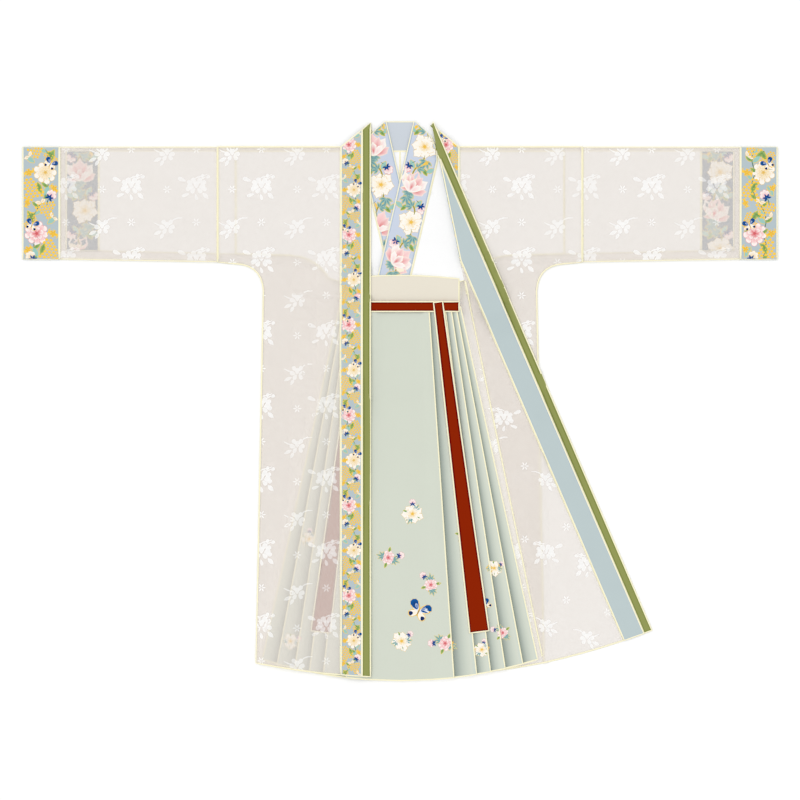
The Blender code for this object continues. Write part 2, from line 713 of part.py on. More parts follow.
def pleat_profile(share, edges):
    """Both sides of the pleated wall at one row, from the centre line outwards.

    share runs from 0 at the waist to 1 at the hem. Each point is (across, height) over the row's base."""
    step = CLOTH + GAP
    level = 2 * step
    at_row = [row["waist"] + (row["hem"] - row["waist"]) * share for row in edges]
    widths = [after - before for before, after in zip(at_row, at_row[1:])]
    returns = [width * PLEAT_RETURN_SHARE for width in [widths[0]] + widths]
    rise_end = at_row[0] - returns[0] - PLEAT_STEP_ROOM
    face_start = rise_end - (widths[0] - returns[0] - 2 * PLEAT_STEP_ROOM)
    upper = [(0.0, CLOTH), (face_start, CLOTH)]
    lower = [(0.0, 0.0), (face_start, 0.0)]
    for i, (edge, back) in enumerate(zip(at_row, returns)):
        upper.append((edge - back - PLEAT_STEP_ROOM, level + CLOTH))
        lower.append((edge - back - PLEAT_STEP_ROOM, level))
        if i == len(at_row) - 1:
            upper.append((edge, level + CLOTH))
            lower.append((edge, level))
            break
        upper += [(edge, level + CLOTH), (edge, step), (edge - back + CLOTH, step),
                  (edge - back + CLOTH, CLOTH), (edge + PLEAT_STEP_ROOM, CLOTH)]
        lower += [(edge - CLOTH, level), (edge - CLOTH, step + CLOTH), (edge - back, step + CLOTH),
                  (edge - back, 0.0), (edge + PLEAT_STEP_ROOM, 0.0)]
    return upper, lower


def both_halves(half):
    """A profile on both sides of the centre line, from the wearer's right to left."""
    return [(-across, height) for across, height in half[:0:-1]] + half


def build_skirt_panel(pile, name, edges, row_count, face_down):
    """One side of the pleated skirt: a folded wall lofted through rows from the waist to the hem."""
    rows = [i / (row_count - 1) for i in range(row_count)]
    deep = 2 * (CLOTH + GAP) + CLOTH
    full = edges[-1]
    waist_edge = WAIST_SEAM + GAP / 2

    def place(across, share):
        """The plan point of a profile point at one row."""
        now = full["waist"] + (full["hem"] - full["waist"]) * share
        foot = across / now * full["hem"]
        top = across / now * full["waist"]
        depth = waist_edge + (skirt_hem(foot) - waist_edge) * share
        return at(top + (foot - top) * share, depth)

    stops = [k / PILE_STRIPS for k in range(-PILE_STRIPS, PILE_STRIPS + 1)]
    strips = list(zip(stops, stops[1:]))
    bands = []
    for share, below in zip(rows, rows[1:]):
        quads = []
        for left, right in strips:
            ends = [(left, share), (right, share), (right, below), (left, below)]
            quads.append([place(u * (full["waist"] + (full["hem"] - full["waist"]) * s), s) for u, s in ends])
        bands.append(quads)
    supports = [max(pile.top_under(quad) for quad in quads) + GAP for quads in bands]
    bases = [max(supports[max(i - 1, 0)], supports[min(i, len(supports) - 1)]) for i in range(row_count)]
    points, size = [], 0
    for share, base in zip(rows, bases):
        upper, lower = pleat_profile(share, edges)
        ring = both_halves(upper) + both_halves(lower)[::-1]
        size = len(ring)
        for across, height in ring:
            plan = place(across, share)
            points.append((plan.x, plan.y, base + (deep - height if face_down else height)))
    faces = []
    for k in range(row_count - 1):
        for i in range(size):
            j = (i + 1) % size
            faces.append((k * size + i, k * size + j, (k + 1) * size + j, (k + 1) * size + i))
    for k in (0, row_count - 1):
        for i in range(size // 2 - 1):
            mate = size - 1 - i
            faces.append((k * size + i, k * size + i + 1, k * size + mate - 1, k * size + mate))
    make_outward(add_object(name, points, faces, "mint_silk"))
    for quads, first, second in zip(bands, bases, bases[1:]):
        for quad in quads:
            tops = [first + deep, first + deep, second + deep, second + deep]
            pile.add(quad[:3], tops[:3])
            pile.add([quad[0], quad[2], quad[3]], [tops[0], tops[2], tops[3]])


def back_pleats():
    """The pleat edges of the skirt's back, evenly spaced from the middle to the side."""
    side = FRONT_PLEATS[-1]
    shares = [(i + 1) / BACK_PLEAT_COUNT for i in range(BACK_PLEAT_COUNT)]
    return [{"waist": side["waist"] * s, "hem": side["hem"] * s} for s in shares]


def band_outline(half, top, bottom, sag=0.0, steps=6):
    """A straight strip across the waist, whose upper edge may sag towards its ends."""
    stops = [-1.0 + 2.0 * i / steps for i in range(steps + 1)]
    return [(half * s, top + sag * s * s) for s in stops] + [(half, bottom), (-half, bottom)]


def build_waist(pile, place_name):
    """The waistband on one side of the waist."""
    name = f"skirt_waistband_{place_name}"
    outline = band_outline(WAIST_HALF, WAIST_TOP, WAIST_SEAM - GAP / 2, WAIST_TOP_SAG)
    belt_edge = [across_line(BELT_TOP - STEP_CLEAR)]
    lay(pile, outline, belt_edge, {name: (BAND_CLOTH, "beige_silk")}, lambda point: name)


def build_belt(pile, place_name):
    """The red belt on one side of the waist."""
    name = f"skirt_belt_{place_name}"
    outline = band_outline(WAIST_HALF, BELT_TOP, BELT_BOTTOM)
    lay(pile, outline, [], {name: (CLOTH, "red_silk")}, lambda point: name)


def build_tie(pile, side, side_name):
    """One hanging end of the belt, widening towards its foot."""
    top, foot = Vector(TIE_TOP), Vector(TIE_FOOT)
    along = (foot - top).normalized()
    sideways = Vector((along.y, -along.x))
    corners = [top + sideways * TIE_TOP_WIDTH / 2, top - sideways * TIE_TOP_WIDTH / 2,
               foot - sideways * TIE_FOOT_WIDTH / 2, foot + sideways * TIE_FOOT_WIDTH / 2]
    outline = [(c.x * side, c.y) for c in corners]
    lines = []
    for i in range(1, TIE_ROWS):
        centre = top + (foot - top) * i / TIE_ROWS
        row_end = centre + sideways
        lines.append(line_through((centre.x * side, centre.y), (row_end.x * side, row_end.y)))
    name = f"skirt_tie_{side_name}"
    lay(pile, outline, lines, {name: (CLOTH, "red_silk")}, lambda point: name)


def clear_scene():
    """Removes whatever the file held."""
    for item in list(bpy.data.objects):
        bpy.data.objects.remove(item)


def main():
    """Lays the set from the bottom up."""
    clear_scene()
    pile = Pile(HALF_SPAN + PILE_MARGIN, SHOULDER_Y - COLLAR_TOP + PILE_MARGIN)
    build_robe_back(pile)
    build_belt(pile, "back")
    build_waist(pile, "back")
    build_skirt_panel(pile, "skirt_back", back_pleats(), SKIRT_BACK_ROWS, True)
    build_top_back(pile)
    build_top_sleeves(pile)
    build_top_front(pile, -1, "right")
    build_top_front(pile, 1, "left")
    build_waist(pile, "front")
    build_skirt_panel(pile, "skirt_front", FRONT_PLEATS, SKIRT_FRONT_ROWS, False)
    build_belt(pile, "front")
    build_tie(pile, -1, "right")
    build_tie(pile, 1, "left")
    build_robe_front_right(pile)
    build_robe_front_left(pile)
    build_robe_sleeves(pile)


main()
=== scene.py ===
"""The looks of a hanfu set laid flat: robe, crossed top and pleated skirt.

Every cut piece gets a shell of its own cloth, with soft ripples that all layers share. Piping runs along the
cut edges, the gauze has a damask pattern, and the bands, cuffs, collar and skirt carry embroidery.
Units are metres, +Z is up, and the camera looks straight down.
"""

import json
import logging
import math
import random
from dataclasses import dataclass, field
from enum import Enum
from typing import Iterable, Sequence

import bmesh
import bpy
import numpy as np
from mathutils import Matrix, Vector
from mathutils.bvhtree import BVHTree

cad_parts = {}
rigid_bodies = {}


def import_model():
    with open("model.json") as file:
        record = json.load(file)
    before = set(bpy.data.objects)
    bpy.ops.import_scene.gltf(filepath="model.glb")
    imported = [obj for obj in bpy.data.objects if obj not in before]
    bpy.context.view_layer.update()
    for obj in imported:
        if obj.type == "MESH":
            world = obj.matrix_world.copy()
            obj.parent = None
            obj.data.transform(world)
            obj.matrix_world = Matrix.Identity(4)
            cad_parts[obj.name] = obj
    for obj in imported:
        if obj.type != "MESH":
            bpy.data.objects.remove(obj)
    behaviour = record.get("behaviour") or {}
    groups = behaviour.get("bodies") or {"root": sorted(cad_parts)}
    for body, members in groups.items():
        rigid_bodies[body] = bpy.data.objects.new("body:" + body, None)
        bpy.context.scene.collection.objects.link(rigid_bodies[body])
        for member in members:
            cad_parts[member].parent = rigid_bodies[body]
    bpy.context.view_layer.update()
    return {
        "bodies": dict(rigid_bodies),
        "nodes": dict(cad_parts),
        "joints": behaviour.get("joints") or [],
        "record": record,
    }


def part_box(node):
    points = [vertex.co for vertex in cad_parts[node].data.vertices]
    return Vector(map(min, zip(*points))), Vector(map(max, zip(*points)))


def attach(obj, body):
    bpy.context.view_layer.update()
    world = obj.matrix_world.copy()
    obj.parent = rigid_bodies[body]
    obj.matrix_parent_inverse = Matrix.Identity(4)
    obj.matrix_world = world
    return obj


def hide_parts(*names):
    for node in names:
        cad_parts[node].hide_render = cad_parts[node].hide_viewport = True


LOG = logging.getLogger("hanfu_set")

Colour = tuple[int, int, int]
Place = tuple[float, float]

# The robe's shoulder line, measured from the centre of the set
SHOULDER_Y = 0.60985

# How bright a white cloth that lies flat reads under the studio light, and the most that a cloth sends back
LIGHT_LEVEL = 1.085
BRIGHTEST = 0.97

# Cut sizes that the embroidery and the turned front follow
OPENING_EDGE = 0.0703
EDGING_WIDTH = 0.0209
BAND_WIDTH = 0.0504
FOLD_START = (OPENING_EDGE, -0.0816)
FOLD_ANGLE = math.radians(11.65)
FOLD_TOP = 0.322
ROBE_HEM_DEPTH = 1.2716

# The cells that a cloth is divided into, so that it can follow a ripple
CELL = 0.018

# Points closer than this are one point, and a ray starts this far off its face
MERGE = 0.00002
RAY_START = 0.0001

# How far up an upper face points at least, also on a pleat, and a cut side at most, and how steep a fold is
UPPER_FACE = 0.7
UPPER_FACE_OF_PLEAT = 0.5
CUT_SIDE = 0.5
FOLD_STEEPNESS = 2

# Sizes of the piping and the inner lines, and how far above the cloth their middle lies
PIPING_WIDTH = 0.0034
COLLAR_PIPING_WIDTH = 0.0026
CORD_HEIGHT = 0.00030
LINE_HEIGHT = 0.00016
PIPING_LIFT = 0.00006
LINE_LIFT = 0.00004

# How far inside the edge each inner line runs and how wide it is, and where the fold's piping runs
EDGING_LINE = (0.0042, 0.0028)
BAND_LINE = (0.0030, 0.0014)
# On the collar the inner line is painted shade inside the neckband's edges
COLLAR_PAINTED_SHADE_LINE = (0.0040, 0.0018)
BELT_LINE = (0.0044, 0.0034)
FOLD_INSET = 0.0022

# How far motifs lie above the cloth, and where the ray that finds the cloth starts and how long it is
STITCH_LIFT = 0.00003
DROP_START = 0.5
DROP_LENGTH = 1.0

# How far a petal's outline stands out around it and lies below it, and how high a patch of thread is domed
OUTLINE = 0.0009
UNDERLAY = 0.00002
DOME = 0.00004

# How many points a petal's outline has, plain and ruffled, how many waves a ruffle has, and how far along the
# petal its heart lies
PETAL_POINTS = 10
RUFFLED_POINTS = 18
RUFFLES = 6
HEART = 0.35

# How thin a line of thread is at its ends, and how much it swells towards its middle
THIN_END = 0.4
SWELL = 0.6

# From one large flower of a ribbon to the next
BAND_PITCH = 0.108

# The steps in which a piece is turned to find its smallest box, in degrees, and the margin that the box gets
TURN_STEP = 3
BOX_MARGIN = 1.001


class Cloth(Enum):
    """The cloths of the set, by the name of their material slot."""

    GAUZE = "gauze"
    BAND = "floral_band"
    EDGING = "green_edging"
    FACING = "pale_blue_facing"
    WHITE = "white_silk"
    COLLAR = "floral_collar"
    MINT = "mint_silk"
    BEIGE = "beige_silk"
    RED = "red_silk"


class Motif(Enum):
    """The small embroidered and woven motifs, in the order of their kit."""

    PINK_ROSE = 0
    CREAM_ROSE = 1
    PINK_PEONY = 2
    CREAM_PEONY = 3
    PINK_BUD = 4
    CREAM_BUD = 5
    GREEN_LEAF = 6
    PALE_LEAF = 7
    WHITE_LEAVES = 8
    TEAL_LEAVES = 9
    BUTTERFLY = 10
    GOLD_NET = 11
    GOLD_SCROLL = 12
    VINE = 13
    TWIG = 14
    WOVEN_ROSE = 15
    WOVEN_SPRAY = 16
    WOVEN_STAR = 17


def reflectance(colour: Colour) -> tuple[float, float, float]:
    """The share of light that a cloth sends back where it is to read as a given screen colour.

    Args:
        colour: red, green and blue from 0 to 255.

    Returns:
        Linear red, green and blue.
    """
    def one(channel: int) -> float:
        """One channel, from screen value to reflectance."""
        value = channel / 255
        bright = value / 12.92 if value <= 0.04045 else ((value + 0.055) / 1.055) ** 2.4
        return min(bright / LIGHT_LEVEL, BRIGHTEST)

    return tuple(one(channel) for channel in colour)


def on_cloth(across: float, down: float) -> Place:
    """The plan point of a place given from the centre line and the robe's shoulders."""
    return across, SHOULDER_Y - down


def add_node(tree: bpy.types.NodeTree, kind: str, feeds: dict[str | int, object] | None = None,
             **settings: object) -> bpy.types.Node:
    """Adds a node to a tree, sets its properties and feeds its inputs.

    Args:
        tree: the tree that takes the node.
        kind: the node's type name.
        feeds: what goes into its inputs, each another node's output or a plain value.
        settings: properties of the node, by name.

    Returns:
        The new node.
    """
    made = tree.nodes.new(kind)
    for name, value in settings.items():
        setattr(made, name, value)
    for socket, value in (feeds or {}).items():
        if isinstance(value, bpy.types.NodeSocket):
            tree.links.new(value, made.inputs[socket])
        else:
            made.inputs[socket].default_value = value
    return made


# Painted shade across a pleat, from deep below the pleat above it to light at its own fold, where None is the
# cloth's own tone
PAINTED_PLEAT_SHADE = (
    (0.0, (134, 146, 140)),
    (0.12, (156, 166, 158)),
    (0.36, (190, 198, 187)),
    (0.60, (207, 214, 201)),
    (0.80, None),
    (1.0, (204, 217, 210)),
)


@dataclass(frozen=True)
class Finish:
    """A cloth or thread finish: its colour, sheen, and the weave that shows close up."""

    name: str
    tone: Colour
    roughness: float = 0.6
    gloss: float = 0.10
    sheen: float = 0.06
    sheen_roughness: float = 0.45
    thread: float = 0.0006
    relief: float = 0.12
    mottle: float = 0.025
    mottle_scale: float = 14.0
    opacity: float = 1.0
    tinted: bool = False
    # A pleated finish takes its base colour from the painted shade across each pleat
    pleated: bool = False

    def material(self) -> bpy.types.Material:
        """The material, made on first use."""
        name = self.name + "_finish"
        if name in bpy.data.materials:
            return bpy.data.materials[name]
        made = bpy.data.materials.new(name)
        made.use_nodes = True
        tree = made.node_tree
        shader = tree.nodes["Principled BSDF"]
        shader.inputs["Roughness"].default_value = self.roughness
        shader.inputs["Specular IOR Level"].default_value = self.gloss
        shader.inputs["Sheen Weight"].default_value = self.sheen
        shader.inputs["Sheen Roughness"].default_value = self.sheen_roughness
        shader.inputs["Alpha"].default_value = self.opacity
        place = add_node(tree, "ShaderNodeTexCoord").outputs["Object"]
        self.colour(tree, shader, place)
        self.weave(tree, shader, place)
        return made

    def colour(self, tree: bpy.types.NodeTree, shader: bpy.types.Node,
               place: bpy.types.NodeSocket) -> None:
        """Links the base colour: the tone, tint or painted pleat shade, with a faint unevenness of the dye.

        Args:
            tree: the material's nodes.
            shader: the Principled shader.
            place: the coordinates of the cloth.
        """
        blotches = add_node(tree, "ShaderNodeTexNoise", {
            "Scale": self.mottle_scale, "Detail": 4.0, "Vector": place})
        shade = add_node(tree, "ShaderNodeMapRange", {
            "To Min": 1.0 - self.mottle, "To Max": 1.0 + self.mottle, "Value": blotches.outputs["Fac"]})
        if self.tinted:
            base = add_node(tree, "ShaderNodeAttribute", attribute_name="tint").outputs["Color"]
        elif self.pleated:
            base = self.painted_pleat_shade(tree)
        else:
            base = reflectance(self.tone)
        dyed = add_node(tree, "ShaderNodeVectorMath", {0: base, 1: shade.outputs["Result"]},
                        operation="MULTIPLY")
        tree.links.new(dyed.outputs["Vector"], shader.inputs["Base Color"])

    def painted_pleat_shade(self, tree: bpy.types.NodeTree) -> bpy.types.NodeSocket:
        """A painted shade that is deep beside the pleat above it and light towards the pleat's own fold."""
        pleat = add_node(tree, "ShaderNodeUVMap", uv_map="pleat")
        parts = add_node(tree, "ShaderNodeSeparateXYZ", {"Vector": pleat.outputs["UV"]})
        ramp = add_node(tree, "ShaderNodeValToRGB", {"Fac": parts.outputs["X"]})
        stops = [(position, (*reflectance(tone or self.tone), 1.0)) for position, tone in PAINTED_PLEAT_SHADE]
        first, last = ramp.color_ramp.elements
        first.position, last.position = stops[0][0], stops[-1][0]
        first.color, last.color = stops[0][1], stops[-1][1]
        for position, colour in stops[1:-1]:
            ramp.color_ramp.elements.new(position).color = colour
        return ramp.outputs["Color"]

    def weave(self, tree: bpy.types.NodeTree, shader: bpy.types.Node,
              place: bpy.types.NodeSocket) -> None:
        """Links the bump of warp and weft, at the pitch of the threads.

        Args:
            tree: the material's nodes.
            shader: the Principled shader.
            place: the coordinates of the cloth.
        """
        warp, weft = [add_node(tree, "ShaderNodeTexWave", {
            "Scale": math.pi / 10 / self.thread, "Distortion": 0.4, "Detail": 1.0, "Vector": place,
        }, bands_direction=way).outputs["Fac"] for way in ("X", "Y")]
        crossing = add_node(tree, "ShaderNodeMath", {0: warp, 1: weft}, operation="MULTIPLY")
        bump = add_node(tree, "ShaderNodeBump", {
            "Strength": self.relief, "Distance": self.thread / 4, "Height": crossing.outputs["Value"]})
        tree.links.new(bump.outputs["Normal"], shader.inputs["Normal"])


FINISHES = {
    Cloth.GAUZE: Finish("gauze", (229, 221, 213), opacity=0.42, gloss=0.05, thread=0.0009, mottle=0.008),
    Cloth.BAND: Finish("band_silk", (184, 198, 203)),
    Cloth.EDGING: Finish("edging_satin", (147, 153, 88), roughness=0.5),
    Cloth.FACING: Finish("facing_silk", (190, 204, 205)),
    Cloth.WHITE: Finish("white_silk", (255, 255, 255), mottle=0.006),
    Cloth.COLLAR: Finish("collar_silk", (205, 214, 230)),
    # The mint silk's colour holds painted shade across its pleats
    Cloth.MINT: Finish("mint_silk", (216, 221, 207), mottle=0.012, pleated=True),
    Cloth.BEIGE: Finish("beige_silk", (235, 228, 212), mottle=0.012),
    Cloth.RED: Finish("red_silk", (142, 34, 0), roughness=0.8, gloss=0.04, sheen=0.0),
}
# The top's cuffs: the collar's pale blue silk painted much darker, as painted shade of the gauze sleeves over
# them
CUFF_SILK_PAINTED_SHADE = Finish("inner_cuff_silk", (94, 124, 150), sheen=0.0)
INNER_COLLAR = Finish("inner_collar_silk", (206, 213, 221))
PIPING = Finish("cream_piping", (255, 249, 214), sheen=0.0, thread=0.0005, mottle=0.01)
RED_LINE = Finish("dark_red_line", (112, 0, 0), roughness=0.8, gloss=0.04, sheen=0.0)
OLIVE_LINE = Finish("dark_olive_line", (130, 139, 66), sheen=0.0)
BLUE_LINE = Finish("blue_line", (176, 194, 212), sheen=0.0)
EMBROIDERY = Finish("embroidery_thread", (255, 255, 255), roughness=0.55, gloss=0.08, sheen=0.0,
                    thread=0.0004, relief=0.3, mottle=0.04, tinted=True)
DAMASK = Finish("damask_float", (254, 254, 253), sheen=0.0, thread=0.0007, mottle=0.01, opacity=0.66)
DAMASK_BELOW = Finish("damask_of_lower_layer", (254, 254, 253), sheen=0.0, thread=0.0007, mottle=0.01,
                      opacity=0.46)


@dataclass(frozen=True)
class Ripple:
    """A soft ridge in the cloth as it was laid down: where its middle is, its way, and its sizes."""

    across: float
    down: float
    way: float
    length: float
    width: float
    height: float

    def rise(self, x: np.ndarray, y: np.ndarray) -> np.ndarray:
        """How far the ridge lifts the cloth at plan points."""
        centre = on_cloth(self.across, self.down)
        turn = math.radians(self.way)
        along = (x - centre[0]) * math.cos(turn) + (y - centre[1]) * math.sin(turn)
        beside = (y - centre[1]) * math.cos(turn) - (x - centre[0]) * math.sin(turn)
        return self.height * np.exp(-(beside / self.width) ** 2 - (2 * along / self.length) ** 4)


@dataclass(frozen=True)
class Drape:
    """All ripples of the laid-out set. Every layer lifts alike, so layers stay clear of each other."""

    ripples: tuple[Ripple, ...] = (
        Ripple(-0.62, 0.075, 4, 0.36, 0.016, 0.0013),
        Ripple(-0.57, 0.165, -7, 0.42, 0.022, 0.0011),
        Ripple(-0.70, 0.225, 5, 0.26, 0.014, 0.0009),
        Ripple(-0.33, 0.120, 28, 0.24, 0.018, 0.0012),
        Ripple(-0.30, 0.205, 42, 0.22, 0.015, 0.0010),
        Ripple(0.60, 0.060, -5, 0.38, 0.017, 0.0012),
        Ripple(0.66, 0.140, 6, 0.30, 0.020, 0.0012),
        Ripple(0.55, 0.220, -3, 0.34, 0.015, 0.0010),
        Ripple(0.34, 0.130, -30, 0.22, 0.017, 0.0011),
        Ripple(0.29, 0.215, -40, 0.20, 0.014, 0.0009),
        Ripple(-0.235, 0.560, 86, 0.42, 0.020, 0.0012),
        Ripple(-0.285, 0.930, 94, 0.46, 0.024, 0.0012),
        Ripple(-0.190, 1.050, 88, 0.36, 0.018, 0.0009),
        Ripple(0.215, 0.620, 95, 0.36, 0.019, 0.0010),
        Ripple(0.300, 0.990, 85, 0.40, 0.022, 0.0012),
        Ripple(0.010, 0.860, 90, 0.44, 0.030, 0.0008),
        Ripple(0.020, 0.205, 8, 0.20, 0.020, 0.0007),
    )

    def apply(self, mesh: bpy.types.Mesh) -> None:
        """Lifts a mesh's points with the ripples."""
        count = len(mesh.vertices)
        flat = np.empty(count * 3)
        mesh.vertices.foreach_get("co", flat)
        points = flat.reshape(count, 3)
        for ripple in self.ripples:
            points[:, 2] += ripple.rise(points[:, 0], points[:, 1])
        mesh.vertices.foreach_set("co", points.ravel())
        mesh.update()


@dataclass(frozen=True)
class Fold:
    """The straight fold of the robe's left front, which turns its inside up."""

    start: Place = FOLD_START
    angle: float = FOLD_ANGLE

    def side(self, x: float, y: float) -> float:
        """Signed distance of a plan point from the fold, positive where the cloth stays."""
        x0, y0 = on_cloth(*self.start)
        return (x - x0) * math.cos(self.angle) + (y - y0) * math.sin(self.angle)

    def line(self, top: float, foot: float, inset: float, step: float = CELL) -> list[Place]:
        """Plan points down the fold, a little inside it.

        Args:
            top: how far below the shoulders it starts.
            foot: how far below the shoulders it ends.
            inset: how far inside the fold it runs.
            step: how far apart the points are.

        Returns:
            The points.
        """
        across, down = self.start
        levels = [top + i * step for i in range(math.ceil((foot - top) / step))]
        return [on_cloth(across + (level - down) * math.tan(self.angle) + inset, level) for level in levels]

    def turned(self, x: float, y: float) -> Place:
        """Where a plan point lies once it has turned over."""
        reach = 2 * self.side(x, y)
        return x - reach * math.cos(self.angle), y - reach * math.sin(self.angle)


@dataclass
class Rim:
    """An upper edge of a cut piece: its points, and the level way into the cloth at each."""

    points: list[Vector]
    inward: list[Vector]

    def path(self, inset: float, lift: float, step: float = CELL) -> list[Vector]:
        """The rim's points, moved into the cloth and no further apart than a step.

        Args:
            inset: how far inside the edge the path runs.
            lift: how far above the cloth it runs.
            step: the longest distance between two points.

        Returns:
            The points of the path.
        """
        moved = [p + way * inset + Vector((0, 0, lift)) for p, way in zip(self.points, self.inward)]
        fine = [moved[0]]
        for before, after in zip(moved, moved[1:]):
            parts = max(1, math.ceil((after - before).length / step))
            fine += [before.lerp(after, (i + 1) / parts) for i in range(parts)]
        return fine


def chained(edges: dict[tuple[int, int], Vector]) -> list[list[int]]:
    """Joins edges end to end into runs of points.

    Args:
        edges: the level inward way of each edge, by its two points.

    Returns:
        Runs of point numbers, where a closed run ends on its first point.
    """
    def pair(a: int, b: int) -> tuple[int, int]:
        """The two points of an edge in one order."""
        return (a, b) if a < b else (b, a)

    beside: dict[int, list[int]] = {}
    for a, b in edges:
        beside.setdefault(a, []).append(b)
        beside.setdefault(b, []).append(a)
    left = {pair(*edge) for edge in edges}
    starts = [p for p, near in beside.items() if len(near) != 2] + list(beside)
    runs = []
    for start in starts:
        for first in beside[start]:
            if pair(start, first) not in left:
                continue
            run = [start, first]
            left.discard(pair(start, first))
            while len(beside[run[-1]]) == 2:
                onward = [p for p in beside[run[-1]] if pair(run[-1], p) in left]
                if not onward:
                    break
                left.discard(pair(run[-1], onward[0]))
                run.append(onward[0])
            runs.append(run)
    return runs


def upper_rims(mesh: bpy.types.Mesh, pleated: bool = False, steep: bool = False,
               shortest: float = 0.012) -> list[Rim]:
    """The edges where a piece's upper face meets its cut side.

    Args:
        mesh: a merged closed mesh.
        pleated: whether rims that another layer of the piece hides are left out.
        steep: whether only edges that run down the cloth count.
        shortest: rims shorter than this are left out.

    Returns:
        The rims, each a run of points.
    """
    work = bmesh.new()
    work.from_mesh(mesh)
    layers = BVHTree.FromBMesh(work)
    above = Vector((0, 0, 1))
    found: dict[tuple[int, int], Vector] = {}
    for edge in work.edges:
        if len(edge.link_faces) != 2 or not edge.is_convex:
            continue
        upper, side = sorted(edge.link_faces, key=lambda f: -f.normal.z)
        if upper.normal.z < UPPER_FACE or abs(side.normal.z) > CUT_SIDE:
            continue
        a, b = edge.verts
        if steep and abs(b.co.y - a.co.y) < FOLD_STEEPNESS * abs(b.co.x - a.co.x):
            continue
        if pleated and layers.ray_cast((a.co + b.co) / 2 + above * RAY_START, above)[0] is not None:
            continue
        way = (b.co - a.co).cross(above).normalized()
        if way.dot(upper.calc_center_median() - a.co) < 0:
            way = -way
        found[(a.index, b.index)] = way
    work.verts.ensure_lookup_table()
    both = {**found, **{(b, a): way for (a, b), way in found.items()}}
    rims = []
    for run in chained(found):
        points = [work.verts[i].co.copy() for i in run]
        ways = [both[pair] for pair in zip(run, run[1:])]
        joined = [ways[0]] + [(a + b) for a, b in zip(ways, ways[1:])] + [ways[-1]]
        if run[0] == run[-1]:
            joined[0] = joined[-1] = ways[0] + ways[-1]
        if sum((b - a).length for a, b in zip(points, points[1:])) > shortest:
            rims.append(Rim(points, [way.normalized() for way in joined]))
    work.free()
    return rims


def cut_into_cells(work: bmesh.types.BMesh, cell: float) -> None:
    """Cuts a mesh along level lines and columns, so that no face is longer than a cell."""
    xs = [v.co.x for v in work.verts]
    ys = [v.co.y for v in work.verts]
    for axis, values in ((Vector((1, 0, 0)), xs), (Vector((0, 1, 0)), ys)):
        for k in range(math.ceil(min(values) / cell), math.ceil(max(values) / cell)):
            bmesh.ops.bisect_plane(
                work, geom=work.verts[:] + work.edges[:] + work.faces[:], dist=MERGE,
                plane_co=axis * (k * cell), plane_no=axis,
            )


def as_object(name: str, mesh: bpy.types.Mesh) -> bpy.types.Object:
    """Links a new object with this mesh to the scene."""
    mesh.name = name
    made = bpy.data.objects.new(name, mesh)
    bpy.context.scene.collection.objects.link(made)
    return made


def triangles(mesh: bpy.types.Mesh) -> int:
    """How many triangles a mesh has."""
    return sum(len(face.vertices) - 2 for face in mesh.polygons)


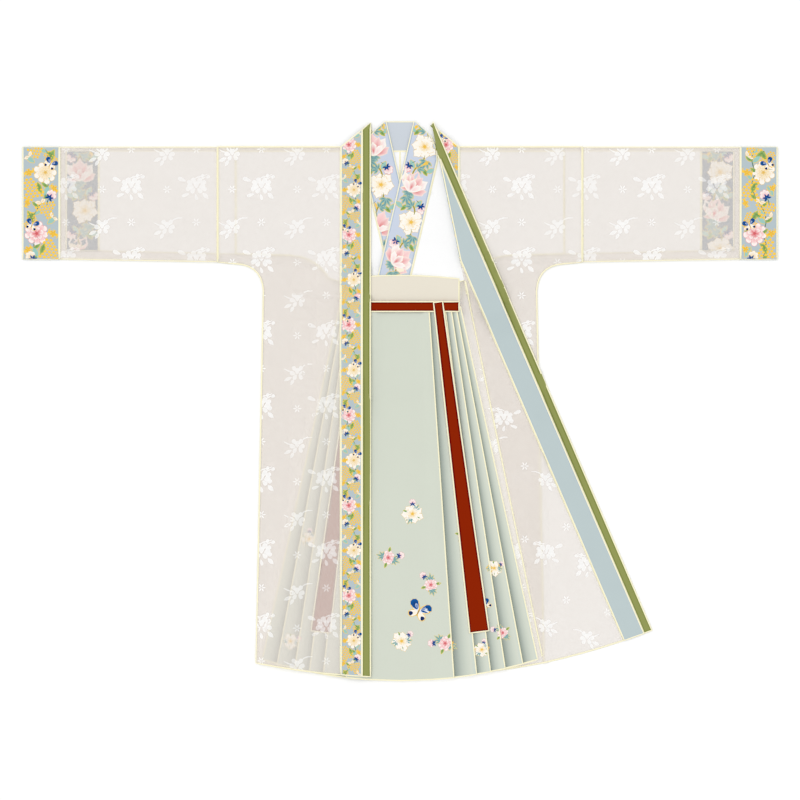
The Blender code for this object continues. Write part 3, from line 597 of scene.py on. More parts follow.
class Trees:
    """The geometry node trees of the set, each built once."""

    def __init__(self) -> None:
        """Builds both trees."""
        self.cord = self.cord_tree()
        self.scatter = self.scatter_tree()

    @staticmethod
    def start(name: str, inputs: Sequence[tuple[str, str, object]]) -> tuple[
            bpy.types.NodeTree, bpy.types.Node, bpy.types.Node]:
        """Starts a tree with its named inputs.

        Args:
            name: the tree's name.
            inputs: name, socket type and default of each input after the geometry.

        Returns:
            The tree, its input node and its output node.
        """
        tree = bpy.data.node_groups.new(name, "GeometryNodeTree")
        tree.interface.new_socket("Geometry", in_out="INPUT", socket_type="NodeSocketGeometry")
        for label, kind, default in inputs:
            socket = tree.interface.new_socket(label, in_out="INPUT", socket_type=kind)
            if default is not None:
                socket.default_value = default
        tree.interface.new_socket("Geometry", in_out="OUTPUT", socket_type="NodeSocketGeometry")
        return tree, add_node(tree, "NodeGroupInput"), add_node(tree, "NodeGroupOutput")

    def cord_tree(self) -> bpy.types.NodeTree:
        """A flat cord with an oval section that follows the paths it is given."""
        tree, given, result = self.start("cord_along_path", (
            ("Width", "NodeSocketFloat", PIPING_WIDTH),
            ("Height", "NodeSocketFloat", CORD_HEIGHT),
            ("Finish", "NodeSocketMaterial", None),
        ))
        path = add_node(tree, "GeometryNodeMeshToCurve", {"Mesh": given.outputs["Geometry"]})
        level = add_node(tree, "GeometryNodeSetCurveNormal", {"Curve": path.outputs["Curve"]}, mode="Z_UP")
        ring = add_node(tree, "GeometryNodeCurvePrimitiveCircle", {"Resolution": 8, "Radius": 0.5})
        sizes = add_node(tree, "ShaderNodeCombineXYZ", {
            "X": given.outputs["Width"], "Y": given.outputs["Height"], "Z": 1.0})
        oval = add_node(tree, "GeometryNodeTransform", {
            "Geometry": ring.outputs["Curve"], "Scale": sizes.outputs["Vector"]})
        sweep = add_node(tree, "GeometryNodeCurveToMesh", {
            "Curve": level.outputs["Curve"], "Profile Curve": oval.outputs["Geometry"], "Fill Caps": True})
        real = add_node(tree, "GeometryNodeRealizeInstances", {"Geometry": sweep.outputs["Mesh"]})
        return self.dressed(tree, given, result, real.outputs["Geometry"])

    @staticmethod
    def dressed(tree: bpy.types.NodeTree, given: bpy.types.Node, result: bpy.types.Node,
                shape: bpy.types.NodeSocket) -> bpy.types.NodeTree:
        """Ends a tree with the finish that it is given.

        Args:
            tree: the tree.
            given: its input node.
            result: its output node.
            shape: the geometry that it has made.

        Returns:
            The tree.
        """
        dress = add_node(tree, "GeometryNodeSetMaterial", {
            "Geometry": shape, "Material": given.outputs["Finish"]})
        tree.links.new(dress.outputs["Geometry"], result.inputs["Geometry"])
        return tree

    def scatter_tree(self) -> bpy.types.NodeTree:
        """Sets motifs from a kit at points and lays each down on the cloth below it."""
        tree, given, result = self.start("motifs_on_cloth", (
            ("Kit", "NodeSocketCollection", None),
            ("Cloth", "NodeSocketObject", None),
            ("Lift", "NodeSocketFloat", STITCH_LIFT),
            ("Finish", "NodeSocketMaterial", None),
        ))

        def stored(name: str, kind: str) -> bpy.types.NodeSocket:
            """The output that reads a named attribute."""
            reader = add_node(tree, "GeometryNodeInputNamedAttribute", {"Name": name}, data_type=kind)
            return next(out for out in reader.outputs if out.name == "Attribute" and out.enabled)

        kit = add_node(tree, "GeometryNodeCollectionInfo", {
            "Collection": given.outputs["Kit"], "Separate Children": True, "Reset Children": True})
        turn = add_node(tree, "ShaderNodeCombineXYZ", {"Z": stored("turn", "FLOAT")})
        rotation = add_node(tree, "FunctionNodeEulerToRotation", {"Euler": turn.outputs["Vector"]})
        spread = add_node(tree, "GeometryNodeInstanceOnPoints", {
            "Points": given.outputs["Geometry"],
            "Instance": kit.outputs["Instances"],
            "Pick Instance": True,
            "Instance Index": stored("pick", "INT"),
            "Rotation": rotation.outputs["Rotation"],
            "Scale": stored("size", "FLOAT_VECTOR"),
        })
        real = add_node(tree, "GeometryNodeRealizeInstances", {"Geometry": spread.outputs["Instances"]})

        cloth = add_node(tree, "GeometryNodeObjectInfo", {"Object": given.outputs["Cloth"]})
        position = add_node(tree, "GeometryNodeInputPosition")
        here = add_node(tree, "ShaderNodeSeparateXYZ", {"Vector": position.outputs["Position"]})
        plan = {"X": here.outputs["X"], "Y": here.outputs["Y"]}
        above = add_node(tree, "ShaderNodeCombineXYZ", {**plan, "Z": DROP_START})
        drop = add_node(tree, "GeometryNodeRaycast", {
            "Target Geometry": cloth.outputs["Geometry"],
            "Source Position": above.outputs["Vector"],
            "Ray Direction": (0, 0, -1),
            "Ray Length": DROP_LENGTH,
        })
        hit = add_node(tree, "ShaderNodeSeparateXYZ", {"Vector": drop.outputs["Hit Position"]})
        rise = add_node(tree, "ShaderNodeMath", {0: here.outputs["Z"], 1: given.outputs["Lift"]},
                        operation="ADD")
        height = add_node(tree, "ShaderNodeMath", {0: rise.outputs["Value"], 1: hit.outputs["Z"]},
                          operation="ADD")
        laid = add_node(tree, "ShaderNodeCombineXYZ", {**plan, "Z": height.outputs["Value"]})
        missed = add_node(tree, "FunctionNodeBooleanMath", {0: drop.outputs["Is Hit"]}, operation="NOT")
        keep = add_node(tree, "GeometryNodeStoreNamedAttribute", {
            "Geometry": real.outputs["Geometry"],
            "Name": "missed",
            "Value": missed.outputs["Boolean"],
        }, data_type="BOOLEAN", domain="POINT")
        lower = add_node(tree, "GeometryNodeSetPosition", {
            "Geometry": keep.outputs["Geometry"], "Position": laid.outputs["Vector"]})
        trim = add_node(tree, "GeometryNodeDeleteGeometry", {
            "Geometry": lower.outputs["Geometry"], "Selection": stored("missed", "BOOLEAN")}, domain="POINT")
        normal = add_node(tree, "GeometryNodeInputNormal")
        facing = add_node(tree, "ShaderNodeSeparateXYZ", {"Vector": normal.outputs["Normal"]})
        under = add_node(tree, "FunctionNodeCompare", {0: facing.outputs["Z"]},
                         data_type="FLOAT", operation="LESS_THAN")
        flip = add_node(tree, "GeometryNodeFlipFaces", {
            "Mesh": trim.outputs["Geometry"], "Selection": under.outputs["Result"]})
        return self.dressed(tree, given, result, flip.outputs["Mesh"])

    @staticmethod
    def grown(base: bpy.types.Object, tree: bpy.types.NodeTree,
              values: dict[str, object]) -> bpy.types.Mesh:
        """Runs a tree on an object and returns what it makes as a plain mesh.

        Args:
            base: the object with the paths or points, which is removed.
            tree: the tree to run.
            values: the tree's inputs, by name.

        Returns:
            The mesh that the tree makes.
        """
        modifier = base.modifiers.new(tree.name, "NODES")
        modifier.node_group = tree
        for item in tree.interface.items_tree:
            if item.item_type == "SOCKET" and item.in_out == "INPUT" and item.name in values:
                modifier[item.identifier] = values[item.name]
        graph = bpy.context.evaluated_depsgraph_get()
        mesh = bpy.data.meshes.new_from_object(
            base.evaluated_get(graph), preserve_all_data_layers=True, depsgraph=graph)
        base.modifiers.remove(modifier)
        bpy.data.objects.remove(base)
        return mesh


class Stitchwork:
    """Collects small domed patches, each with its own thread colours, as one flat motif."""

    def __init__(self) -> None:
        """Starts with no patch."""
        self.points: list[tuple[float, float, float]] = []
        self.faces: list[tuple[int, ...]] = []
        self.tints: list[tuple[float, float, float, float]] = []

    def patch(self, outline: Iterable[Place], heart: Place, level: float, rim: Colour, core: Colour,
              rise: float = DOME) -> None:
        """Adds one patch, a fan of faces around a raised heart.

        Args:
            outline: the patch's outline, counter-clockwise.
            heart: its raised point.
            level: how high its outline lies over the cloth.
            rim: the thread colour at the outline.
            core: the thread colour at the heart.
            rise: how far the heart stands over the outline.
        """
        ring = list(outline)
        first = len(self.points)
        self.points += [(x, y, level) for x, y in ring] + [(*heart, level + rise)]
        self.tints += [(*reflectance(rim), 1.0)] * len(ring) + [(*reflectance(core), 1.0)]
        last = first + len(ring)
        self.faces += [(first + i, first + (i + 1) % len(ring), last) for i in range(len(ring))]

    def petal(self, base: Place, angle: float, length: float, width: float, level: float, rim: Colour,
              core: Colour, edge: Colour | None = None, pointed: bool = False, ruffle: float = 0.0) -> None:
        """Adds a petal or leaf that grows from a base point.

        Args:
            base: where the petal is held.
            angle: the way it points, in degrees.
            length: its length.
            width: its greatest width.
            level: how high it lies over the cloth.
            rim: the thread colour towards its outline.
            core: the thread colour at its heart.
            edge: the colour of a thin outline around it, or None.
            pointed: whether it is a leaf with a point, and not a broad round petal.
            ruffle: how deep its edge waves, as a share of its length.
        """
        turn = math.radians(angle)

        def place(x: float, y: float) -> Place:
            """A point of the petal, turned and moved to its base."""
            return (base[0] + x * math.cos(turn) - y * math.sin(turn),
                    base[1] + x * math.sin(turn) + y * math.cos(turn))

        def outline(grow: float) -> list[Place]:
            """The petal's outline, grown evenly by a margin."""
            ring = []
            count = RUFFLED_POINTS if ruffle else PETAL_POINTS
            for k in range(count):
                step = 2 * math.pi * k / count
                share = (1 - math.cos(step)) / 2
                fullness = math.sin(math.pi * (0.12 + 0.8 * share)) if pointed else 0.45 + 0.55 * share
                wave = 1.0 + ruffle * share * math.cos(RUFFLES * step)
                x = -grow + (length + 2 * grow) * share * wave
                y = math.sin(step) * (width / 2 * fullness * wave + grow)
                ring.append(place(x, y))
            return ring

        if edge is not None:
            self.patch(outline(OUTLINE), place(length / 2, 0), level - UNDERLAY, edge, edge, 0.0)
        self.patch(outline(0.0), place(length * HEART, 0), level, rim, core)

    def strip(self, path: Sequence[Place], width: float, level: float, tone: Colour,
              tapered: bool = True) -> None:
        """Adds a narrow domed line of thread.

        Args:
            path: the points that it follows.
            width: its greatest width.
            level: how high its sides lie over the cloth.
            tone: the thread colour.
            tapered: whether it is thinner at both ends.
        """
        first = len(self.points)
        for i, (x, y) in enumerate(path):
            before, after = path[max(i - 1, 0)], path[min(i + 1, len(path) - 1)]
            run = Vector((after[0] - before[0], after[1] - before[1])).normalized()
            share = THIN_END + SWELL * math.sin(math.pi * i / (len(path) - 1)) if tapered else 1.0
            half = width / 2 * share
            self.points += [(x + run.y * half, y - run.x * half, level), (x, y, level + DOME),
                            (x - run.y * half, y + run.x * half, level)]
            self.tints += [(*reflectance(tone), 1.0)] * 3
        for i in range(len(path) - 1):
            a = first + 3 * i
            self.faces += [(a, a + 3, a + 4, a + 1), (a + 1, a + 4, a + 5, a + 2)]

    def mesh(self, name: str) -> bpy.types.Mesh:
        """The motif as a mesh with its thread colours."""
        made = bpy.data.meshes.new(name)
        made.from_pydata(self.points, [], self.faces)
        tint = made.attributes.new("tint", "FLOAT_COLOR", "POINT")
        tint.data.foreach_set("color", [value for colour in self.tints for value in colour])
        made.polygons.foreach_set("use_smooth", [True] * len(made.polygons))
        return made


# Thread colours of the embroidery
WHITE = (255, 252, 247)
CREAM = (255, 244, 220)
SAND = (246, 216, 160)
STRAW = (242, 204, 116)
PALE_PINK = (252, 220, 218)
PINK = (246, 184, 186)
ROSE = (226, 116, 120)
DEEP_ROSE = (204, 78, 84)
GOLD = (255, 208, 74)
OCHRE = (222, 170, 70)
TEAL = (166, 204, 192)
DEEP_TEAL = (96, 142, 154)
PALE_TEAL = (160, 204, 194)
LEAF = (160, 192, 116)
DEEP_LEAF = (112, 148, 80)
STEM = (84, 128, 110)
TWIG = (150, 150, 66)
NAVY = (20, 42, 96)
BLUE = (8, 92, 168)
SKY = (196, 208, 232)
WOVEN = (255, 255, 255)


@dataclass(frozen=True)
class Ring:
    """One ring of a flower's petals, with its sizes in shares of the flower's radius."""

    count: int
    reach: float
    length: float
    width: float
    rim: Colour
    core: Colour


@dataclass(frozen=True)
class Bloom:
    """A kind of flower seen from above: its rings of petals from the outermost in, outlines and eye."""

    radius: float
    rings: tuple[Ring, ...]
    edge: Colour
    eye: tuple[Colour, Colour]
    eye_reach: float = 0.16
    ruffle: float = 0.0


PINK_ROSE = Bloom(0.0185, (
    Ring(9, 0.40, 0.60, 0.62, WHITE, PALE_PINK),
    Ring(8, 0.28, 0.50, 0.54, PALE_PINK, PINK),
    Ring(6, 0.15, 0.42, 0.46, WHITE, PINK),
    Ring(5, 0.05, 0.32, 0.34, PINK, ROSE),
), PINK, (ROSE, DEEP_ROSE))
CREAM_ROSE = Bloom(0.0185, (
    Ring(9, 0.40, 0.60, 0.62, WHITE, CREAM),
    Ring(8, 0.28, 0.50, 0.54, WHITE, SAND),
    Ring(6, 0.15, 0.42, 0.46, CREAM, SAND),
    Ring(5, 0.05, 0.32, 0.34, CREAM, STRAW),
), SAND, (STRAW, OCHRE))
CREAM_PEONY = Bloom(0.029, (
    Ring(7, 0.20, 0.80, 0.84, WHITE, CREAM),
    Ring(6, 0.10, 0.62, 0.66, WHITE, CREAM),
    Ring(5, 0.02, 0.42, 0.44, CREAM, SAND),
), STRAW, (GOLD, OCHRE), 0.20, 0.10)

# The petals of a cupped flower seen from the side: lean, length, width, layer, rim and heart
CUP_PETALS = (
    (-66, 0.038, 0.026, 0, PALE_PINK, ROSE),
    (66, 0.038, 0.026, 0, PALE_PINK, ROSE),
    (-38, 0.046, 0.028, 1, WHITE, PINK),
    (38, 0.046, 0.028, 1, WHITE, PINK),
    (0, 0.050, 0.028, 2, PALE_PINK, PINK),
    (-20, 0.043, 0.022, 3, PALE_PINK, ROSE),
    (20, 0.043, 0.022, 3, PALE_PINK, ROSE),
    (-44, 0.030, 0.018, 4, WHITE, PALE_PINK),
    (44, 0.030, 0.018, 4, WHITE, PALE_PINK),
    (0, 0.030, 0.019, 5, WHITE, ROSE),
)

# The damask's larger flower, with petals that just meet, and its leaves: base point, way, length and width
WOVEN_ROSE_PARTS = (
    (0.0, -0.0060, 90, 0.0170, 0.0170),
    (-0.0060, -0.0050, 155, 0.0170, 0.0170),
    (0.0060, -0.0050, 25, 0.0170, 0.0170),
    (-0.0020, 0.0040, 118, 0.0170, 0.0160),
    (0.0030, 0.0040, 60, 0.0170, 0.0160),
    (-0.0090, 0.0040, 150, 0.0150, 0.0140),
    (0.0100, 0.0040, 28, 0.0150, 0.0140),
    (-0.0100, -0.0050, 195, 0.0160, 0.0140),
    (0.0100, -0.0050, 345, 0.0160, 0.0140),
    (-0.0030, -0.0060, 230, 0.0150, 0.0140),
    (0.0030, -0.0060, 312, 0.0150, 0.0140),
    (-0.0250, 0.0110, 158, 0.0210, 0.0130),
    (-0.0170, -0.0190, 200, 0.0190, 0.0105),
    (-0.0020, -0.0200, 285, 0.0150, 0.0100),
    (0.0150, -0.0170, 315, 0.0200, 0.0110),
    (0.0130, 0.0190, 70, 0.0100, 0.0100),
    (0.0240, 0.0180, 40, 0.0100, 0.0110),
)
WOVEN_ROSE_TWIGS = (
    ((-0.004, 0.017), (0.004, 0.021), (0.014, 0.023), (0.026, 0.027)),
    ((0.010, 0.016), (0.016, 0.018), (0.024, 0.022)),
)
WOVEN_SPRAY_PARTS = (
    (0.0, -0.0060, 90, 0.0160, 0.0160),
    (-0.0040, -0.0050, 165, 0.0150, 0.0150),
    (0.0040, -0.0050, 15, 0.0150, 0.0150),
    (-0.0020, 0.0020, 130, 0.0150, 0.0140),
    (0.0030, 0.0020, 52, 0.0150, 0.0140),
    (-0.0020, -0.0060, 240, 0.0140, 0.0130),
    (0.0040, -0.0060, 305, 0.0140, 0.0130),
    (-0.0130, -0.0120, 205, 0.0210, 0.0095),
    (-0.0080, -0.0170, 240, 0.0170, 0.0085),
)
WOVEN_SPRAY_TWIGS = (
    ((0.010, 0.010), (0.017, 0.016), (0.026, 0.019), (0.037, 0.019)),
    ((-0.012, 0.000), (-0.022, 0.003), (-0.032, 0.008)),
)
WOVEN_STAR_PARTS = tuple(
    (0.0012 * x, 0.0012 * y, math.degrees(math.atan2(y, x)), 0.0095, 0.0036)
    for x, y in ((1, 0), (0.5, 0.87), (-0.5, 0.87), (-1, 0), (-0.5, -0.87), (0.5, -0.87))
)


@dataclass
class MotifKit:
    """Draws every motif once, at its real size, as a kit for the geometry nodes.

    Flowers start at the level over the cloth and each further ring lies a layer higher.
    """

    level: float = 0.00006
    layer: float = 0.00003
    ring_turn: float = 0.37
    unevenness: float = 0.12
    kit: bpy.types.Collection = field(init=False)

    def __post_init__(self) -> None:
        """Draws the motifs in the order of their numbers."""
        self.kit = bpy.data.collections.new("motif_kit")
        drawn = {
            Motif.PINK_ROSE: self.flower(PINK_ROSE),
            Motif.CREAM_ROSE: self.flower(CREAM_ROSE),
            Motif.PINK_PEONY: self.cup(),
            Motif.CREAM_PEONY: self.flower(CREAM_PEONY),
            Motif.PINK_BUD: self.bud(WHITE, PINK),
            Motif.CREAM_BUD: self.bud(WHITE, SAND),
            Motif.GREEN_LEAF: self.leaves((0,), 0.0190, 0.0082, LEAF, DEEP_LEAF),
            Motif.PALE_LEAF: self.leaves((0,), 0.0180, 0.0090, PALE_TEAL, PALE_TEAL),
            Motif.WHITE_LEAVES: self.leaves((-62, 62), 0.0160, 0.0062, WHITE, SAND, SAND),
            Motif.TEAL_LEAVES: self.leaves((-72, 72, -36, 36, 0), 0.0240, 0.0066, TEAL, DEEP_TEAL),
            Motif.TWIG: self.twig(),
            Motif.BUTTERFLY: self.butterfly(),
            Motif.GOLD_NET: self.gold_net(),
            Motif.GOLD_SCROLL: self.gold_scroll(),
            Motif.VINE: self.vine(),
            Motif.WOVEN_ROSE: self.woven(WOVEN_ROSE_PARTS, WOVEN_ROSE_TWIGS),
            Motif.WOVEN_SPRAY: self.woven(WOVEN_SPRAY_PARTS, WOVEN_SPRAY_TWIGS),
            Motif.WOVEN_STAR: self.woven(WOVEN_STAR_PARTS, ()),
        }
        for motif, work in drawn.items():
            name = f"{motif.value:02d}_{motif.name.lower()}"
            self.kit.objects.link(bpy.data.objects.new(name, work.mesh(name)))

    def flower(self, bloom: Bloom) -> Stitchwork:
        """A full flower of overlapping petals.

        Args:
            bloom: the kind of flower.

        Returns:
            The stitchwork.
        """
        work = Stitchwork()
        for k, ring in enumerate(bloom.rings):
            for i in range(ring.count):
                angle = 360 * (i + self.ring_turn * k) / ring.count
                turn = math.radians(angle)
                reach = bloom.radius * ring.reach
                base = (reach * math.cos(turn), reach * math.sin(turn))
                swing = 1.0 + self.unevenness * math.sin(2.3 * i + 1.7 * k)
                work.petal(base, angle, bloom.radius * ring.length * swing, bloom.radius * ring.width,
                           self.level + self.layer * k, ring.rim, ring.core, bloom.edge,
                           ruffle=bloom.ruffle)
        top = self.level + self.layer * len(bloom.rings)
        for i in range(7):
            work.petal((0, 0), 360 * i / 7 + 20, bloom.radius * bloom.eye_reach, bloom.radius * 0.11,
                       top, *bloom.eye)
        return work

    def cup(self) -> Stitchwork:
        """A full pink flower seen from the side, which opens upward over blue sepals."""
        work = Stitchwork()
        base = (0.0, -0.021)
        for lean in (-118, -150, 180, 150, 118):
            work.petal(base, 90 + lean, 0.017, 0.0075, self.level, TEAL, DEEP_TEAL, STRAW, pointed=True)
        for lean, length, width, layer, rim, core in CUP_PETALS:
            work.petal(base, 90 + lean, length, width, self.level + self.layer * layer, rim, core, CREAM,
                       ruffle=0.08)
        return work

    def bud(self, rim: Colour, core: Colour) -> Stitchwork:
        """A half-open bud of four petals in a blue calyx, on a short stalk."""
        work = Stitchwork()
        for angle, length in ((126, 0.012), (54, 0.012), (102, 0.0145), (78, 0.0145)):
            work.petal((0, 0), angle, length, 0.0085, self.level + self.layer, rim, core, core)
        for angle in (30, 150, 205, 335, 90):
            work.petal((0, 0.0005), angle, 0.0075, 0.0036, self.level + 2 * self.layer, BLUE, NAVY,
                       pointed=True)
        work.strip([(0, 0), (0.001, -0.006), (0.004, -0.012)], 0.0016, self.level, STEM)
        return work

    def leaves(self, spread: Sequence[float], length: float, width: float, rim: Colour, core: Colour,
               edge: Colour = GOLD) -> Stitchwork:
        """Leaves or lobes that spread from one stalk.

        Args:
            spread: how far each leaf leans from the middle, in degrees.
            length: the length of a leaf that doesn't lean.
            width: the width of each leaf.
            rim: the thread colour towards the outline.
            core: the thread colour along the rib.
            edge: the colour of the outline.

        Returns:
            The stitchwork.
        """
        work = Stitchwork()
        for i, lean in enumerate(spread):
            reach = length * (1.0 - 0.45 * abs(lean) / 90)
            work.petal((0, 0), 90 + lean, reach, width, self.level + self.layer * i / 4, rim, core, edge,
                       pointed=True)
            turn = math.radians(90 + lean)
            rib = [(reach * share * math.cos(turn), reach * share * math.sin(turn))
                   for share in (0.1, 0.4, 0.75)]
            work.strip(rib, 0.0007, self.level + 2 * self.layer, core)
        return work

    def butterfly(self) -> Stitchwork:
        """A butterfly with blue upper wings and white lower wings, both tipped dark."""
        work = Stitchwork()
        for side in (1, -1):
            def wing(lean: float, reach: float, length: float, width: float, level: int, rim: Colour,
                     core: Colour, edge: Colour | None = None) -> None:
                """One patch of this side's wings."""
                angle = lean if side > 0 else 180 - lean
                base = (reach * math.cos(math.radians(angle)), reach * math.sin(math.radians(angle)))
                work.petal(base, angle, length, width, self.level + self.layer * (7 + level), rim, core, edge)

            wing(42, 0.0, 0.0200, 0.0150, 0, WHITE, SKY, GOLD)
            wing(42, 0.0040, 0.0164, 0.0156, 1, BLUE, NAVY)
            wing(48, 0.0060, 0.0070, 0.0056, 2, SKY, BLUE)
            wing(-34, 0.0, 0.0145, 0.0120, 0, WHITE, CREAM, GOLD)
            wing(-34, 0.0078, 0.0064, 0.0086, 1, NAVY, NAVY)
            work.strip([(0, 0.002), (side * 0.003, 0.009), (side * 0.007, 0.012)], 0.0008,
                       self.level + 7 * self.layer, OCHRE)
        work.petal((0, -0.007), 90, 0.014, 0.0034, self.level + 9 * self.layer, GOLD, NAVY)
        return work

    def gold_net(self) -> Stitchwork:
        """A patch of couched gold lozenges with an uneven outline."""
        work = Stitchwork()
        for row in range(-4, 5):
            for column in range(-3, 4):
                x, y = (column + 0.5 * (row % 2)) * 0.0070, row * 0.0048
                turn = math.atan2(y, x)
                if math.hypot(x / 0.85, y) < 0.0180 + 0.0035 * math.cos(3 * turn + 0.6):
                    work.petal((x - 0.0031, y), 0, 0.0062, 0.0051, self.level, GOLD, GOLD, pointed=True)
        return work

    def gold_scroll(self) -> Stitchwork:
        """Gold scrolls that curl out of a small flower."""
        work = Stitchwork()
        for i in range(4):
            lean = math.radians(35 + 90 * i + 12 * (i % 2))
            way = 1 if i % 2 else -1
            path = []
            for k in range(9):
                turn = lean + way * 0.62 * k
                reach = (0.0125 - 0.0011 * k) * (0.4 + 0.075 * k)
                path.append((reach * math.cos(turn) + 0.006 * math.cos(lean),
                             reach * math.sin(turn) + 0.006 * math.sin(lean)))
            work.strip(path, 0.0030, self.level, GOLD)
        for i in range(5):
            work.petal((0, 0), 72 * i, 0.0075, 0.0050, self.level + self.layer, GOLD, OCHRE)
        return work

    def vine(self) -> Stitchwork:
        """One wave of a winding stem with leaves on both sides."""
        work = Stitchwork()
        path = [(0.011 * math.sin(math.pi * k / 9), BAND_PITCH * (k / 18 - 0.5)) for k in range(19)]
        work.strip(path, 0.0016, self.layer, STEM, False)
        for k in (1, 4, 6, 8, 10, 13, 15, 17):
            side = 1 if k % 4 < 2 else -1
            rim, core = (LEAF, DEEP_LEAF) if k % 3 else (PALE_TEAL, TEAL)
            work.petal(path[k], 90 - side * 52, 0.0125, 0.0060, 2 * self.layer, rim, core, STRAW,
                       pointed=True)
        return work

    def twig(self) -> Stitchwork:
        """A stout olive stem that winds from one large flower to the next."""
        work = Stitchwork()
        path = [(0.013 * math.sin(math.pi * k / 8), 0.094 * (k / 16 - 0.5)) for k in range(17)]
        work.strip(path, 0.0042, self.layer, STRAW, False)
        work.strip(path, 0.0026, 1.5 * self.layer, TWIG, False)
        return work

    def woven(self, blobs: Sequence[tuple[float, float, float, float, float]],
              lines: Sequence[Sequence[Place]]) -> Stitchwork:
        """A motif of the damask.

        Args:
            blobs: its petals and leaves, as base point, way, length and width.
            lines: its twigs.

        Returns:
            The stitchwork.
        """
        work = Stitchwork()
        for x, y, angle, length, width in blobs:
            work.petal((x, y), angle, length, width, self.layer, WOVEN, WOVEN,
                       pointed=width < 0.55 * length)
        for path in lines:
            work.strip(path, 0.0036, self.layer, WOVEN)
        return work


@dataclass(frozen=True)
class Spot:
    """Where one motif goes: its plan point, turn in degrees, size, and whether it is mirrored."""

    x: float
    y: float
    motif: Motif
    turn: float = 0.0
    size: float = 1.0
    mirrored: bool = False


@dataclass(frozen=True)
class Course:
    """A straight line that motifs follow, from its top end down to its foot."""

    top: Vector
    foot: Vector

    @property
    def length(self) -> float:
        """How long the line is."""
        return (self.foot - self.top).length

    def spot(self, along: float, across: float, motif: Motif, lean: float, size: float,
             mirrored: bool) -> Spot:
        """Places a motif by the line.

        Args:
            along: how far down the line it is.
            across: how far beside the line it is.
            motif: which one it is.
            lean: how far it turns from the line's own way, in degrees.
            size: its size, where 1 is as drawn.
            mirrored: whether it is mirrored.

        Returns:
            The spot.
        """
        way = (self.foot - self.top).normalized()
        place = self.top + way * along + Vector((-way.y, way.x)) * across
        turn = math.degrees(math.atan2(way.y, way.x)) + 90
        return Spot(place.x, place.y, motif, turn + lean, size, mirrored)


def spot_mesh(spots: Sequence[Spot]) -> bpy.types.Mesh:
    """The spots as loose points that carry their motif's number, turn and size."""
    mesh = bpy.data.meshes.new("spots")
    mesh.from_pydata([(spot.x, spot.y, 0.0) for spot in spots], [], [])
    sizes = [value for s in spots for value in (-s.size if s.mirrored else s.size, s.size, 1.0)]
    for name, kind, channel, values in (
        ("pick", "INT", "value", [s.motif.value for s in spots]),
        ("turn", "FLOAT", "value", [math.radians(s.turn) for s in spots]),
        ("size", "FLOAT_VECTOR", "vector", sizes),
    ):
        mesh.attributes.new(name, kind, "POINT").data.foreach_set(channel, values)
    return mesh


# Cloths that cast no shadow, so that the gauze below and beside them stays light, as in the drawing
UNSHADED = (Cloth.GAUZE, Cloth.WHITE, Cloth.MINT, Cloth.BEIGE)

# Where the back edging goes under the collar at the wearer's left, and the way in which its end is cut off
TUCK_POINT = on_cloth(0.0588, -0.0355)
TUCK_WAY = (0.812, 0.584, 0.0)


